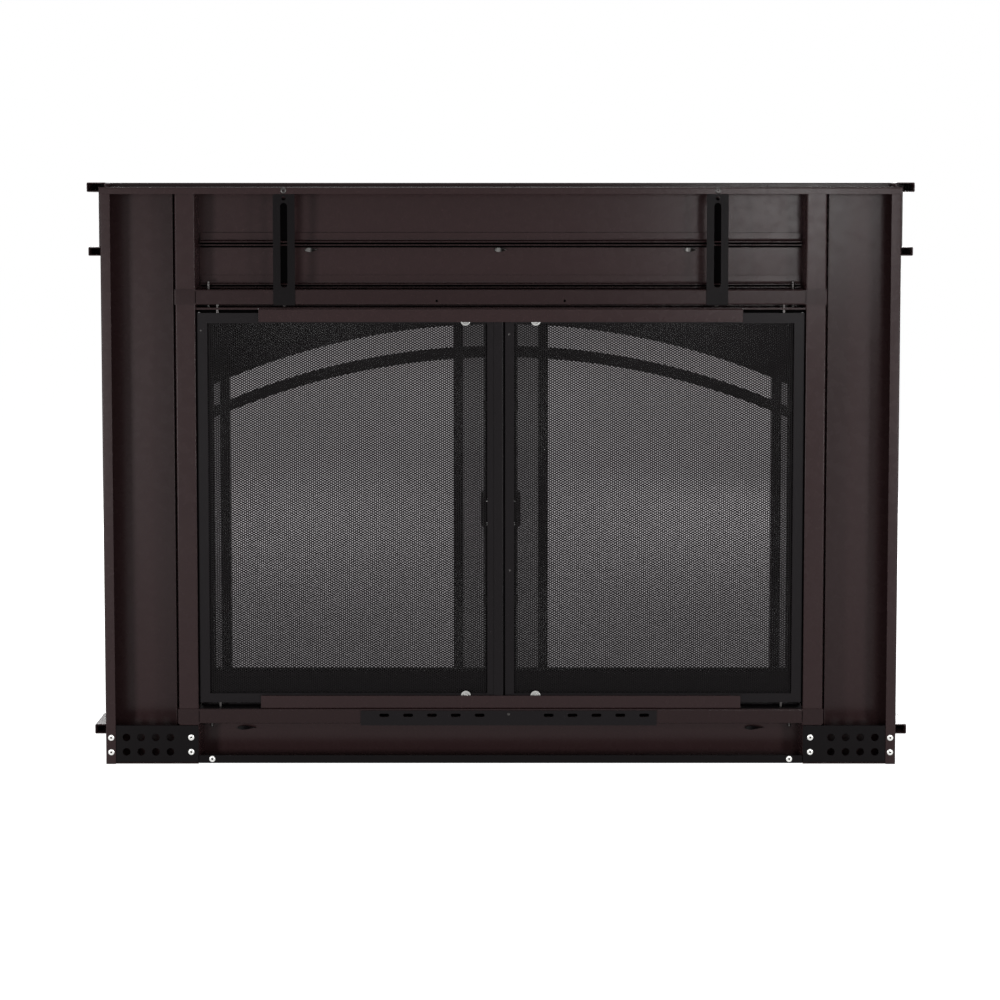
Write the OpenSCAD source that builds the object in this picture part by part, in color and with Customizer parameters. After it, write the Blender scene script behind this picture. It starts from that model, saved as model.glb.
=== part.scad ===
// Fireplace glass door unit: a folded steel surround with a pair of arched glass doors,
// a pair of mesh doors behind them, a draught slider and its lintel straps.
// Millimetres. The front faces -Y, the firebox side faces +Y, and the unit stands on z = 0.
// "left" and "right" are as seen from the room. Depths are counted forward from the rear lips.

/* [Surround] */
// Width of each side panel, from the opening to its outer face
side_w = 134.5; // [118:0.5:155]
// Height of the header panel from the head to the trim
header_h = 76; // [60:0.5:100]
// Height of the frieze from the trim to the top
frieze_h = 85.5; // [70:0.5:110]
// Depth from the rear lips to the front of the side panels
body_d = 45; // [42:0.5:60]
// Thickness of the folded sheet steel
sheet_t = 1.5; // [1.2:0.1:2]
// Width of the rear lip of each side panel
side_lip_w = 14.5; // [12:0.5:20]
// Height of the rear lip under the top plate
top_lip_h = 10; // [8:0.5:14]

/* [Opening] */
// Clear width between the inner stiles
opening_w = 874; // [760:1:990]
// Height of the sill above the hearth
sill_z = 80; // [78:0.5:92]
// Clear height from the sill to the head
opening_h = 580; // [500:1:660]
// Width of each inner stile
stile_w = 29; // [24:0.5:34]
// Height of the inner rails
rail_h = 21.6; // [20:0.2:26]
// Slit between the head and the top inner rail
head_slit = 6; // [4:0.5:9]
// Distance of the small holes in the top inner rail from the middle
rail_hole_x = 91.5; // [60:0.5:200]
// Radius of the small holes in the top inner rail
rail_hole_r = 1.8; // [1:0.1:2.5]
// Height of the notches over the mesh door pins
rail_notch_h = 3; // [2:0.5:6]
// Length of the bent ends of the inner rails
rail_tab_l = 12; // [6:0.5:20]

/* [Crown, trim and ledge] */
// How far the crown stands out from the frieze
crown_out = 17; // [10:0.5:24]
// Height of the crown below the top of the body
crown_drop = 7; // [6:0.5:14]
// Height of the crown above the top of the body
crown_rise = 6.5; // [3:0.5:8]
// How far the crown laps over the top plate
crown_lap = 10; // [6:0.5:20]
// Thickness of the frieze wrapped over the side panels
frieze_t = 2; // [1.2:0.1:3]
// Height of the header trim
trim_h = 12.5; // [8:0.5:16]
// How far the header trim stands out
trim_out = 17.5; // [10:0.5:24]
// Length of the flange that holds the header trim
trim_flange_l = 14; // [8:0.5:20]
// Width of each folded tab of the trim
trim_tab_w = 14; // [8:0.5:20]
// Distance of the outer trim tabs from the sides of the opening
trim_tab_inset = 162; // [100:1:200]
// Underside of the base ledge
ledge_z = 43.5; // [40:0.5:50]
// Height of the base ledge
ledge_h = 14; // [8:0.5:16]
// How far the base ledge stands out
ledge_out = 16; // [10:0.5:24]
// Width of each folded tab of the ledge
ledge_tab_w = 26; // [10:0.5:40]
// Distance of the ledge tabs from the sides of the opening
ledge_tab_inset = 71; // [20:1:120]
// Height of every folded tab
tab_h = 6; // [4:0.5:8]
// Distance of the moulding ends from the rear lips
moulding_rear = 4; // [2:0.5:10]
// Outer radius of the bends of the mouldings
moulding_bend = 2.5; // [2.5:0.5:4]

/* [Base] */
// Height of the black angle under the base panel
base_angle_h = 12; // [9:0.5:16]
// Depth of the foot of the base angle
base_angle_d = 17; // [10:0.5:24]
// Distance of the base angle rivets from the sides of the opening
base_rivet_inset = 19; // [10:1:60]

/* [Lintel straps] */
// Width of each strap
strap_w = 31; // [26:0.5:40]
// Thickness of each strap
strap_t = 1.5; // [1.2:0.1:2]
// Distance of each strap from the side of the opening
strap_inset = 127.5; // [90:0.5:160]
// Distance from the top inner rail to the foot of the slot
strap_slot_foot = 24.5; // [20:0.5:40]
// Width of the strap slot
strap_slot_w = 10; // [6:0.5:12]
// Distance from the top of the body to the top of the slot
strap_slot_top = 22.5; // [20:0.5:30]
// Depth of the bent foot of the strap
strap_foot_d = 11; // [6:0.5:16]
// Radius of the small hole over the slot
strap_hole_r = 3; // [2:0.1:3.5]
// Gap between the strap and the top plate
strap_gap = 1.5; // [1:0.5:3]

/* [Corner plates] */
// Height of each plate
plate_h = 53.4; // [48:0.2:54]
// Height of the underside of the plate
plate_z = 2.6; // [1:0.2:4]
// Gap from the side wall to the plate
plate_side_gap = 2; // [1:0.5:4]
// Radius of the plate holes
plate_hole_r = 5.65; // [4:0.05:7]
// Pitch of the plate holes
plate_hole_pitch = 21.2; // [18:0.1:24]
// Columns of plate holes
plate_columns = 4; // [2:1:4]
// Distance of the group of holes from the middle of the plate, towards the side
plate_hole_shift = 7.125; // [0:0.125:8]
// Distance from the underside of the plate to the lower row of holes
plate_row_rise = 14.9; // [13:0.1:17]

/* [Rivets] */
// Shank radius of the rivets
rivet_r = 2; // [1.5:0.1:2.4]
// Head radius of the rivets
rivet_head_r = 4.5; // [3.5:0.1:5]
// Head height of the rivets
rivet_head_h = 1.3; // [1:0.1:2]
// Inset of the rivets from the edge of what they hold
rivet_inset = 8; // [7:0.5:10]

/* [Draught slider] */
// Distance from the middle of the last vent to the end of the slider
slider_end = 26; // [20:0.5:40]
// Height of the slider
slider_h = 21.6; // [20:0.2:22]
// Thickness of the slider
slider_t = 1.5; // [1:0.1:1.5]
// Drop of the slider below the sill
slider_drop = 2; // [1:0.5:4]
// Offset of the open slider from the middle
slider_rest_x = -11.5; // [-16:0.5:-6]
// Travel of the slider from open to shut
slider_travel = 17.25; // [12:0.25:18]
// Number of vent slots in each half
vent_count = 5; // [3:1:5]
// Pitch of the vent slots
vent_pitch = 34.5; // [32:0.5:36]
// Distance from the middle of the slider to the first vent
vent_first = 50; // [40:0.5:55]
// Sideways shift of the vents on the slider
vent_shift = -8; // [-12:0.5:12]
// Length of a vent slot
vent_l = 14.4; // [10:0.2:15]
// Height of a vent slot
vent_h = 5; // [3:0.2:6]
// Distance from the sill to the middle of the vents
vent_drop = 8.7; // [7:0.1:10]
// Width of the slider lever
lever_w = 10; // [6:0.5:14]
// Thickness of the slider lever
lever_t = 3; // [2:0.5:4]
// Radius of the lever knob
knob_r = 7; // [5:0.5:8]
// Thickness of the lever knob
knob_t = 8; // [5:0.5:10]
// Distance from the base panel to the knob
knob_gap = 4; // [2:0.5:8]

/* [Glass doors] */
// Thickness of the door frame
glass_frame_t = 12; // [10:0.5:14]
// Thickness of the front lip of the frame
glass_lip_t = 5; // [3:0.5:6]
// Lap of the lip over the pane
glass_lip_w = 3; // [2.5:0.5:6]
// Thickness of the pane
pane_t = 4; // [3:0.5:5]
// Gap from the opening to the side of the door
glass_side_gap = 3; // [2:0.5:5]
// Gap above the door
glass_top_gap = 2; // [1.5:0.5:4]
// Gap under the door
glass_bottom_gap = 4; // [2:0.5:6]
// Half of the gap where the two doors meet
glass_meet_gap = 1; // [0.8:0.1:2]
// Visible width of the hinge stile
hinge_stile_w = 18; // [16:0.5:24]
// Visible width of the meeting stile
meet_stile_w = 23; // [18:0.5:30]
// Height of the bottom rail of the door
door_bottom_h = 49; // [40:0.5:60]
// Height of the bar at the top of the spandrel
door_top_h = 12; // [8:0.5:15]
// Radius of the arch over both doors
arch_r = 1025; // [950:1:1100]
// Distance from the head to the top of the arch
arch_drop = 23.2; // [22:0.2:30]
// Distance from the arch to the arched bar
arch_bar_gap = 31.7; // [24:0.1:40]
// Width of the arched and upright bars
bar_w = 14.7; // [10:0.1:20]
// Width of the arched bar, measured upright
arch_bar_w = 16.8; // [10:0.1:22]
// Thickness of the bars
bar_t = 4; // [2:0.5:5]
// Distance of the inner upright bar from the middle
inner_bar_x = 61.4; // [50:0.1:80]
// Distance from the hinge stile to the middle of the outer upright bar
outer_bar_inset = 16.2; // [12:0.1:40]
// Distance of the hinge pin from the side of the opening
glass_pin_inset = 15; // [14:0.5:16]
// Radius of the hinge pins
pin_r = 2.5; // [2:0.1:3]
// Depth of the pins in their doors
pin_sink = 14; // [8:0.5:20]
// How far the glass door pins stand past the inner rails
glass_pin_past = 12; // [8:0.5:16]

/* [Pane clips] */
// Clips on each stile over the handle, and as many under it
clip_count = 1; // [1:1:3]
// Height of a clip
clip_h = 14; // [8:0.5:20]
// Width of a clip
clip_w = 15; // [12:0.5:18]
// Thickness of a clip
clip_t = 1.5; // [1:0.1:2]
// How far a clip stands past the lip of the frame, over the pane
clip_lead = 1; // [0.5:0.5:3]

/* [Door handles] */
// Length of the grip
grip_l = 54; // [40:0.5:90]
// Width of the grip
grip_w = 15; // [10:0.5:20]
// Thickness of the grip
grip_t = 8; // [5:0.5:10]
// Distance from the middle of the pane down to the middle of the grip
grip_drop = 26; // [0:0.5:60]
// How far the grip stands over the free edge of the meeting stile
grip_over = 5.4; // [0:0.1:8]
// Clear distance from the door to the grip
grip_stand = 14; // [8:0.5:16]
// Chamfer of the grip ends
grip_chamfer = 4; // [1:0.5:6]
// Radius of the handle posts
post_r = 3; // [2.5:0.1:3.5]
// Distance between the posts
post_pitch = 34; // [24:0.5:36]
// Radius of the handle screws
screw_r = 1.6; // [1.2:0.1:2]

/* [Mesh doors] */
// Thickness of the mesh door frame
mesh_frame_t = 7; // [6:0.5:8]
// Width of the mesh door stiles
mesh_stile_w = 14.4; // [12:0.2:16]
// Width of the mesh door stiles at the middle
mesh_meet_w = 12.7; // [10:0.1:16]
// Height of the top rail
mesh_top_h = 14.6; // [12:0.2:18]
// Height of the bottom rail
mesh_bottom_h = 13; // [12:0.2:18]
// Gap from the opening to the side of the door
mesh_side_gap = 1.5; // [1:0.1:2.5]
// Gap above the door
mesh_top_gap = 6.2; // [5.5:0.1:9]
// Gap under the door
mesh_bottom_gap = 8.6; // [7:0.1:12]
// Distance from the middle to each mesh door
mesh_meet = 6.5; // [5:0.1:8]
// Distance of the mesh door pin from the side of the opening
mesh_pin_inset = 30.5; // [28:0.5:34]
// How far the mesh door pins stand past the head and the sill
mesh_pin_past = 6; // [4:0.5:7]
// Wall left between the pins of the mesh doors and the mesh
mesh_pin_wall = 3; // [2:0.5:6]
// Width of the cover strip between the mesh doors
cover_w = 13.7; // [12.4:0.1:15]
// Gap from the cover strip to the other door
cover_gap = 2.4; // [1.5:0.1:3]
// Thickness of the mesh
mesh_t = 1; // [0.6:0.1:1.5]
// Width of the strands of the coarse net
net_strand = 1.6; // [1:0.1:2.5]
// Width of the border of the coarse net
net_border = 1.5; // [1:0.1:4]
// Diamonds across the net
net_columns = 6; // [4:1:6]
// Diamonds up the net
net_rows = 11; // [6:1:11]

/* [Stops and catches] */
// Distance from the sides of the opening to the ends of the stop strips
stop_inset = 90; // [60:1:130]
// Height of the stop strips
stop_h = 19; // [16:0.5:22]
// Depth of the foot of the stop strips
stop_foot_d = 8; // [5:0.5:9]
// Radius of the round strikes on the mesh doors
strike_r = 7.3; // [5:0.1:8]
// Thickness of the strikes
strike_t = 1.7; // [1:0.1:2]
// Distance of the strikes from the middle
strike_x = 50.4; // [40:0.1:70]
// Half length of the magnet block of the glass doors
magnet_half_l = 40; // [20:1:50]
// Height of the magnet block
magnet_h = 5; // [3:0.5:5.5]
// Clearance between flat parts that slide or shut on each other
flat_gap = 0.3; // [0.2:0.05:0.5]
// Radial clearance of pins in the rails
pin_play = 0.05; // [0.02:0.01:0.1]
// Clearance between the glass doors and the mesh doors as they swing
swing_gap = 0.7; // [0.5:0.1:2]

/* [Hidden] */
$fn = 48;

right = 1;
left = -1;

// Depths forward from the rear lips
strap_d = sheet_t;
rail_d = strap_d + strap_t;
stile_d = rail_d + sheet_t;
skin_d = body_d - sheet_t;
stop_d = stile_d;
strike_d = stop_d + sheet_t + flat_gap;
mesh_d = strike_d + strike_t;
mesh_front_d = mesh_d + mesh_frame_t;
mesh_axis_d = mesh_d + mesh_frame_t / 2;
frieze_d = body_d + frieze_t;

// Widths from the middle
half_open = opening_w / 2;
half_body = half_open + side_w;
stile_x = half_open + stile_w;
glass_edge = half_open - glass_side_gap;
glass_pin_x = half_open - glass_pin_inset;
glass_free = glass_edge - hinge_stile_w;
glass_meet = glass_meet_gap + meet_stile_w;
mesh_edge = half_open - mesh_side_gap;
mesh_pin_x = half_open - mesh_pin_inset;
mesh_free = mesh_edge - mesh_stile_w;
mesh_inner = mesh_meet + mesh_meet_w;
cover_x0 = cover_gap - mesh_meet;
half_stop = half_open - stop_inset;
strap_x = half_open - strap_inset;
trim_tab_x = half_open - trim_tab_inset;
ledge_tab_x = half_open - ledge_tab_inset;
base_rivet_x = half_open - base_rivet_inset;
outer_bar_x = glass_free - outer_bar_inset;

// The corner of an opening glass door passes just in front of the shut mesh door
glass_corner_r = norm([glass_edge - glass_pin_x, glass_frame_t / 2]);
glass_axis_d = mesh_front_d + glass_corner_r + swing_gap;
glass_d = glass_axis_d - glass_frame_t / 2;
glass_front_d = glass_d + glass_frame_t;
glass_lip_d = glass_front_d - glass_lip_t;
pane_d = glass_lip_d - pane_t;
grip_d = glass_front_d + grip_stand;

// Heights from the hearth
head_z = sill_z + opening_h;
trim_z = head_z + header_h;
trim_top = trim_z + trim_h;
body_h = trim_top + frieze_h;
top_rail_z = head_z + head_slit;
top_rail_top = top_rail_z + rail_h;
bottom_rail_z = sill_z - rail_h;
top_plate_z = body_h - sheet_t;
top_lip_z = body_h - top_lip_h;
trim_flange_z = trim_top - sheet_t;
crown_z = body_h - crown_drop;
crown_top = body_h + crown_rise;
door_z0 = sill_z + glass_bottom_gap;
door_z1 = head_z - glass_top_gap;
door_bottom_z = door_z0 + door_bottom_h;
door_top_z = door_z1 - door_top_h;
arch_z = head_z - arch_drop - arch_r;
arch_bar_z = arch_z - arch_bar_gap;
mesh_z0 = sill_z + mesh_bottom_gap;
mesh_z1 = head_z - mesh_top_gap;
mesh_low = mesh_z0 + mesh_bottom_h;
mesh_high = mesh_z1 - mesh_top_h;
grip_z = (door_bottom_z + door_top_z) / 2 - grip_drop;
vent_z = sill_z - vent_drop;
slider_top = sill_z - slider_drop;
lever_z = vent_z - lever_t / 2;
knob_d = body_d + knob_gap;

// How far cuts run past a face, and joined shapes into each other
past = 1;
// Share of the head radius left at the top of a head, and of the shank radius in its bore
head_taper = 0.75;
rivet_bore = 0.6;

// The part stands centred on its own outline
front_reach = frieze_d + crown_out;
rear_y = (front_reach - rivet_head_h) / 2;

brown = [0.23, 0.19, 0.185];
black = [0.12, 0.115, 0.12];
screen = [0.15, 0.145, 0.15];
silver = [0.78, 0.78, 0.77];
smoked = [0.3, 0.29, 0.29, 0.4];

// A block between two distances from the middle, two depths and two heights
module slab(x0, x1, d0, d1, z0, z1) {
    translate([x0, rear_y - d1, z0])
        cube([x1 - x0, d1 - d0, z1 - z0]);
}

// A block centred on the middle
module wide_slab(half, d0, d1, z0, z1) {
    slab(-half, half, d0, d1, z0, z1);
}

// A flat shape drawn in width and height, given depth
module plate(d0, d1) {
    translate([0, rear_y - d0, 0])
        rotate([90, 0, 0])
            linear_extrude(d1 - d0)
                children();
}

// A round bar that runs front to back
module bar_y(x, z, d0, d1, r) {
    translate([x, rear_y - d0, z])
        rotate([90, 0, 0])
            cylinder(h = d1 - d0, r = r);
}

// A round bar that runs up and down
module bar_z(x, d, z0, z1, r) {
    translate([x, rear_y - d, z0])
        cylinder(h = z1 - z0, r = r);
}

// A part drawn for the right side, turned over for the left
module on_side(side) {
    mirror([side == left ? 1 : 0, 0, 0])
        children();
}

// A slot with round ends, drawn flat
module obround(length, width) {
    square([length - width, width], center = true);
    for (end = [-1, 1])
        translate([end * (length - width) / 2, 0])
            circle(d = width);
}

// A hollow rivet with its head towards the firebox
module rivet(x, z, head_d, grip) {
    translate([x, rear_y - head_d, z])
        rotate([-90, 0, 0])
            difference() {
                union() {
                    cylinder(h = rivet_head_h, r1 = rivet_head_r,
                        r2 = rivet_head_r * head_taper);
                    translate([0, 0, -grip - sheet_t])
                        cylinder(h = grip + sheet_t + rivet_head_h / 2, r = rivet_r);
                }
                cylinder(h = rivet_head_h * 2, r = rivet_r * rivet_bore);
            }
}

// Places of the rivets of a corner plate, on the right side
plate_x0 = half_open + sheet_t / 2;
plate_x1 = half_body - sheet_t - plate_side_gap;
plate_row_z = plate_z + plate_row_rise;
plate_rows = [plate_row_z, plate_row_z + plate_hole_pitch];
plate_group_x = (plate_x0 + plate_x1) / 2 + plate_hole_shift;
plate_first_x = plate_group_x - (plate_columns - 1) * plate_hole_pitch / 2;
plate_rivet_x = [half_body - rivet_inset, half_open + rivet_inset + sheet_t * 2];

// ---- moulded bands -------------------------------------------------------------------

// Quarter turn round [x, z] from the angle a0 downwards
bend_step = 30;
function bend_arc(x, z, r, a0) = [
    for (a = [a0 : -bend_step : a0 - 90]) [x + r * cos(a), z + r * sin(a)]
];
// Line of a moulding as [out from the body, height], moved inwards by inset: top, front, foot
function band_line(out, z0, z1, inset) =
    let (x = out - moulding_bend, r = moulding_bend - inset)
    concat(
        [[0, z1 - inset]],
        bend_arc(x, z1 - moulding_bend, r, 90),
        bend_arc(x, z0 + moulding_bend, r, 0),
        [[0, z0 + inset]]
    );
function backwards(list) = [for (i = [len(list) - 1 : -1 : 0]) list[i]];

// A folded band: hollow, and open towards the body
module band_section(out, z0, z1) {
    polygon(concat(band_line(out, z0, z1, 0), backwards(band_line(out, z0, z1, sheet_t))));
}

// Carries a section round the front and both sides, mitred at the two corners
module wrap_band(half, face_d, out, inward) {
    far = half + out + past;
    corner_y = rear_y - face_d;
    reach = out + past;
    end_y = rear_y - moulding_rear;
    intersection() {
        translate([-far, corner_y, 0])
            rotate([90, 0, 90])
                linear_extrude(2 * far)
                    mirror([1, 0])
                        children();
        linear_extrude(body_h * 2)
            polygon([
                [half - inward, corner_y + inward], [half + reach, corner_y - reach],
                [-half - reach, corner_y - reach], [-half + inward, corner_y + inward]
            ]);
    }
    for (side = [left, right])
        on_side(side)
            intersection() {
                translate([half, end_y, 0])
                    rotate([90, 0, 0])
                        linear_extrude(end_y - corner_y + reach)
                            children();
                linear_extrude(body_h * 2)
                    polygon([
                        [half - inward, corner_y + inward], [half + reach, corner_y - reach],
                        [half + reach, end_y], [half - inward, end_y]
                    ]);
            }
}

module header_trim() {
    color(brown) {
        wrap_band(half_body, body_d, trim_out, 0)
            band_section(trim_out, trim_z, trim_top);
        wide_slab(half_open, body_d - trim_flange_l, body_d, trim_flange_z, trim_top);
    }
}

module base_ledge() {
    color(brown)
        wrap_band(half_body, body_d, ledge_out, 0)
            band_section(ledge_out, ledge_z, ledge_z + ledge_h);
}

module crown() {
    color(brown)
        wrap_band(half_body + frieze_t, frieze_d, crown_out, crown_lap)
            union() {
                band_section(crown_out, crown_z, crown_top);
                translate([-crown_lap, body_h])
                    square([crown_lap + sheet_t, crown_rise]);
            }
}

module header_trim_tabs() {
    color(black)
        for (x = [-trim_tab_x, 0, trim_tab_x])
            slab(x - trim_tab_w / 2, x + trim_tab_w / 2, skin_d - sheet_t, skin_d,
                trim_z, trim_z + tab_h);
}

module base_ledge_tabs() {
    color(black)
        for (x = [-ledge_tab_x, ledge_tab_x])
            slab(x - ledge_tab_w / 2, x + ledge_tab_w / 2, skin_d - sheet_t, skin_d,
                ledge_z - tab_h, ledge_z);
}

// ---- surround ------------------------------------------------------------------------

module top_plate() {
    color(brown)
        difference() {
            union() {
                wide_slab(half_body, 0, body_d, top_plate_z, body_h);
                wide_slab(half_body, 0, sheet_t, top_lip_z, top_plate_z);
            }
            for (x = [-strap_x, strap_x])
                bar_y(x, top_lip_z + top_lip_h / 2, -past, sheet_t + past,
                    rivet_r + pin_play);
        }
}

module side_panel(side) {
    color(brown)
        on_side(side)
            difference() {
                union() {
                    slab(half_body - sheet_t, half_body, 0, body_d, 0, top_plate_z);
                    slab(half_open, half_body - sheet_t, skin_d, body_d, 0, top_plate_z);
                    slab(half_body - side_lip_w, half_body - sheet_t, 0, sheet_t, 0, top_lip_z);
                }
                slab(half_body - sheet_t - past, half_body + past, -past, sheet_t, top_lip_z,
                    body_h);
                for (z = plate_rows)
                    bar_y(plate_rivet_x[0], z, -sheet_t, sheet_t * 2, rivet_r + pin_play);
            }
}

module inner_stile(side) {
    color(brown)
        on_side(side)
            difference() {
                union() {
                    slab(half_open, stile_x, stile_d, stile_d + sheet_t, 0, top_plate_z);
                    slab(half_open, half_open + sheet_t, stile_d, skin_d, 0, top_plate_z);
                    slab(stile_x - sheet_t, stile_x, stile_d, skin_d, 0, top_plate_z);
                }
                for (z = plate_rows)
                    bar_y(plate_rivet_x[1], z, 0, stile_d + sheet_t * 2, rivet_r + pin_play);
            }
}

module frieze() {
    color(brown) {
        wide_slab(half_body + frieze_t, body_d, frieze_d, trim_top, body_h);
        for (side = [left, right])
            on_side(side)
                slab(half_body, half_body + frieze_t, moulding_rear, body_d, trim_top, body_h);
    }
}

module header_panel() {
    color(brown)
        difference() {
            union() {
                wide_slab(half_open, skin_d, body_d, head_z, trim_flange_z);
                wide_slab(half_open, mesh_d, skin_d, head_z, head_z + sheet_t);
            }
            for (side = [left, right])
                on_side(side) {
                    bar_z(mesh_pin_x, mesh_axis_d, head_z - past, top_rail_z, pin_r + pin_play);
                    bar_z(glass_pin_x, glass_axis_d, head_z - past, top_rail_z, pin_r + pin_play);
                }
        }
}

module base_panel() {
    color(brown)
        difference() {
            union() {
                wide_slab(half_open, skin_d, body_d, 0, sill_z);
                wide_slab(half_open, rail_d + base_angle_d, skin_d, 0, sheet_t);
            }
            lever_window(skin_d - past, body_d + past);
        }
}

module base_angle() {
    color(black)
        difference() {
            union() {
                wide_slab(half_open, rail_d, stile_d, 0, base_angle_h);
                wide_slab(half_open, stile_d, rail_d + base_angle_d, 0, sheet_t);
            }
            for (x = [-base_rivet_x, base_rivet_x])
                bar_y(x, base_angle_h / 2 + sheet_t / 2, rail_d - past, stile_d + past,
                    rivet_r + pin_play);
        }
}

module base_angle_rivets() {
    color(silver)
        for (x = [-base_rivet_x, base_rivet_x])
            rivet(x, base_angle_h / 2 + sheet_t / 2, rail_d, sheet_t);
}

// ---- inner rails ---------------------------------------------------------------------

// A channel with its web to the rear and bent ends that clasp the inner stiles
module inner_rail(z0) {
    wide_slab(stile_x + sheet_t, rail_d, stile_d, z0, z0 + rail_h);
    wide_slab(half_open, stile_d, skin_d, z0, z0 + sheet_t);
    wide_slab(half_open, stile_d, skin_d, z0 + rail_h - sheet_t, z0 + rail_h);
    for (side = [left, right])
        on_side(side)
            slab(stile_x, stile_x + sheet_t, stile_d, stile_d + rail_tab_l, z0, z0 + rail_h);
}

module top_inner_rail() {
    color(brown)
        difference() {
            inner_rail(top_rail_z);
            for (side = [left, right])
                on_side(side) {
                    slab(mesh_pin_x - pin_r * 2, mesh_pin_x + pin_r * 2, rail_d - past, skin_d / 2,
                        top_rail_z - past, top_rail_z + rail_notch_h);
                    bar_z(glass_pin_x, glass_axis_d, top_rail_z - past, top_rail_top + past,
                        pin_r + pin_play);
                    bar_y(rail_hole_x, top_rail_z + rail_hole_r * 3, rail_d - past, stile_d + past,
                        rail_hole_r);
                    bar_z(strap_x, strap_foot_screw_d, top_rail_z - past, top_rail_z + sheet_t + past,
                        rivet_r + pin_play);
                }
        }
}

module vent_slots(centre_x, d0, d1) {
    for (side = [left, right])
        for (i = [0 : vent_count - 1])
            plate(d0, d1)
                translate([centre_x + vent_shift + side * (vent_first + i * vent_pitch), vent_z])
                    obround(vent_l, vent_h);
}

// Room for the lever over the whole travel of the slider
module lever_window(d0, d1) {
    play = 1;
    slab(slider_rest_x - lever_w / 2 - play, slider_rest_x + slider_travel + lever_w / 2 + play,
        d0, d1, lever_z - play, lever_z + lever_t + play);
}

module bottom_inner_rail() {
    color(brown)
        difference() {
            inner_rail(bottom_rail_z);
            vent_slots(slider_rest_x, rail_d - past, stile_d + past);
            lever_window(rail_d - past, stile_d + past);
            for (side = [left, right])
                on_side(side) {
                    bar_z(mesh_pin_x, mesh_axis_d, sill_z - sheet_t - past, sill_z + past,
                        pin_r + pin_play);
                    bar_z(glass_pin_x, glass_axis_d, bottom_rail_z - past, sill_z + past,
                        pin_r + pin_play);
                }
        }
}

module upper_stop_strip() {
    color(brown) {
        wide_slab(half_stop, stop_d, stop_d + sheet_t, head_z - stop_h, head_z);
        wide_slab(half_stop, stop_d + sheet_t, stop_d + sheet_t + stop_foot_d,
            head_z - sheet_t, head_z);
    }
}

module lower_stop_strip() {
    color(brown) {
        wide_slab(half_stop, stop_d, stop_d + sheet_t, sill_z, sill_z + stop_h);
        wide_slab(half_stop, stop_d + sheet_t, stop_d + sheet_t + stop_foot_d,
            sill_z, sill_z + sheet_t);
    }
}

module glass_door_magnet() {
    color(black)
        wide_slab(magnet_half_l, mesh_front_d + swing_gap, glass_d - flat_gap,
            head_z - magnet_h, head_z);
}

// ---- lintel straps -------------------------------------------------------------------

strap_top = top_plate_z - strap_gap;
strap_slot_low = top_rail_z + strap_slot_foot;
strap_slot_high = body_h - strap_slot_top;
strap_slot_l = strap_slot_high - strap_slot_low;
strap_slot_z = (strap_slot_low + strap_slot_high) / 2;
strap_hole_z = (body_h - strap_slot_top + top_lip_z) / 2;

module lintel_strap(side) {
    color(black)
        on_side(side)
            difference() {
                union() {
                    slab(strap_x - strap_w / 2, strap_x + strap_w / 2, strap_d, rail_d,
                        top_rail_z - sheet_t, strap_top);
                    slab(strap_x - strap_w / 2, strap_x + strap_w / 2, rail_d,
                        rail_d + strap_foot_d, top_rail_z - sheet_t, top_rail_z);
                }
                plate(strap_d - past, rail_d + past)
                    translate([strap_x, strap_slot_z])
                        rotate(90)
                            obround(strap_slot_l, strap_slot_w);
                bar_y(strap_x, top_lip_z + top_lip_h / 2, strap_d - past, rail_d + past,
                    rivet_r + pin_play);
                bar_y(strap_x, strap_hole_z, strap_d - past, rail_d + past, strap_hole_r);
                bar_z(strap_x, strap_foot_screw_d, top_rail_z - sheet_t * 2, top_rail_z + past,
                    rivet_r + pin_play);
            }
}

strap_foot_screw_d = rail_d + strap_foot_d / 2;

module lintel_strap_screws() {
    color(silver)
        for (side = [left, right])
            on_side(side) {
                rivet(strap_x, top_lip_z + top_lip_h / 2, 0, rail_d);
                bar_z(strap_x, strap_foot_screw_d, top_rail_z - sheet_t, top_rail_z + sheet_t * 2,
                    rivet_r);
                bar_z(strap_x, strap_foot_screw_d, top_rail_z - sheet_t - rivet_head_h,
                    top_rail_z - sheet_t, rivet_head_r * head_taper);
            }
}

// ---- corner plates -------------------------------------------------------------------

module corner_plate(side) {
    color(black)
        on_side(side)
            difference() {
                slab(plate_x0, plate_x1, sheet_t, stile_d, plate_z, plate_z + plate_h);
                for (i = [0 : plate_columns - 1], z = plate_rows)
                    bar_y(plate_first_x + i * plate_hole_pitch, z, 0, stile_d + past,
                        plate_hole_r);
                for (x = plate_rivet_x, z = plate_rows)
                    bar_y(x, z, 0, stile_d + past, rivet_r + pin_play);
            }
}

module corner_plate_rivets() {
    color(silver)
        for (side = [left, right])
            on_side(side)
                for (z = plate_rows) {
                    rivet(plate_rivet_x[0], z, 0, stile_d);
                    rivet(plate_rivet_x[1], z, sheet_t, stile_d);
                }
}

// ---- draught slider ------------------------------------------------------------------

slider_d = rail_d - flat_gap - slider_t;
half_slider = vent_first + (vent_count - 1) * vent_pitch + slider_end;

module draught_slider() {
    color(black)
        difference() {
            slab(slider_rest_x - half_slider, slider_rest_x + half_slider, slider_d,
                slider_d + slider_t, slider_top - slider_h, slider_top);
            vent_slots(slider_rest_x, slider_d - past, slider_d + slider_t + past);
        }
}

module slider_lever() {
    color(black)
        slab(slider_rest_x - lever_w / 2, slider_rest_x + lever_w / 2, slider_d + slider_t,
            knob_d, lever_z, lever_z + lever_t);
}

module slider_knob() {
    color(black)
        difference() {
            bar_y(slider_rest_x, vent_z, knob_d, knob_d + knob_t, knob_r);
            translate([slider_rest_x, rear_y - knob_d - knob_t / 2, vent_z])
                rotate([90, 0, 0])
                    rotate_extrude()
                        translate([knob_r + knob_t / 8, 0])
                            circle(r = knob_t / 4);
        }
}

// ---- glass doors ---------------------------------------------------------------------

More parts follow.
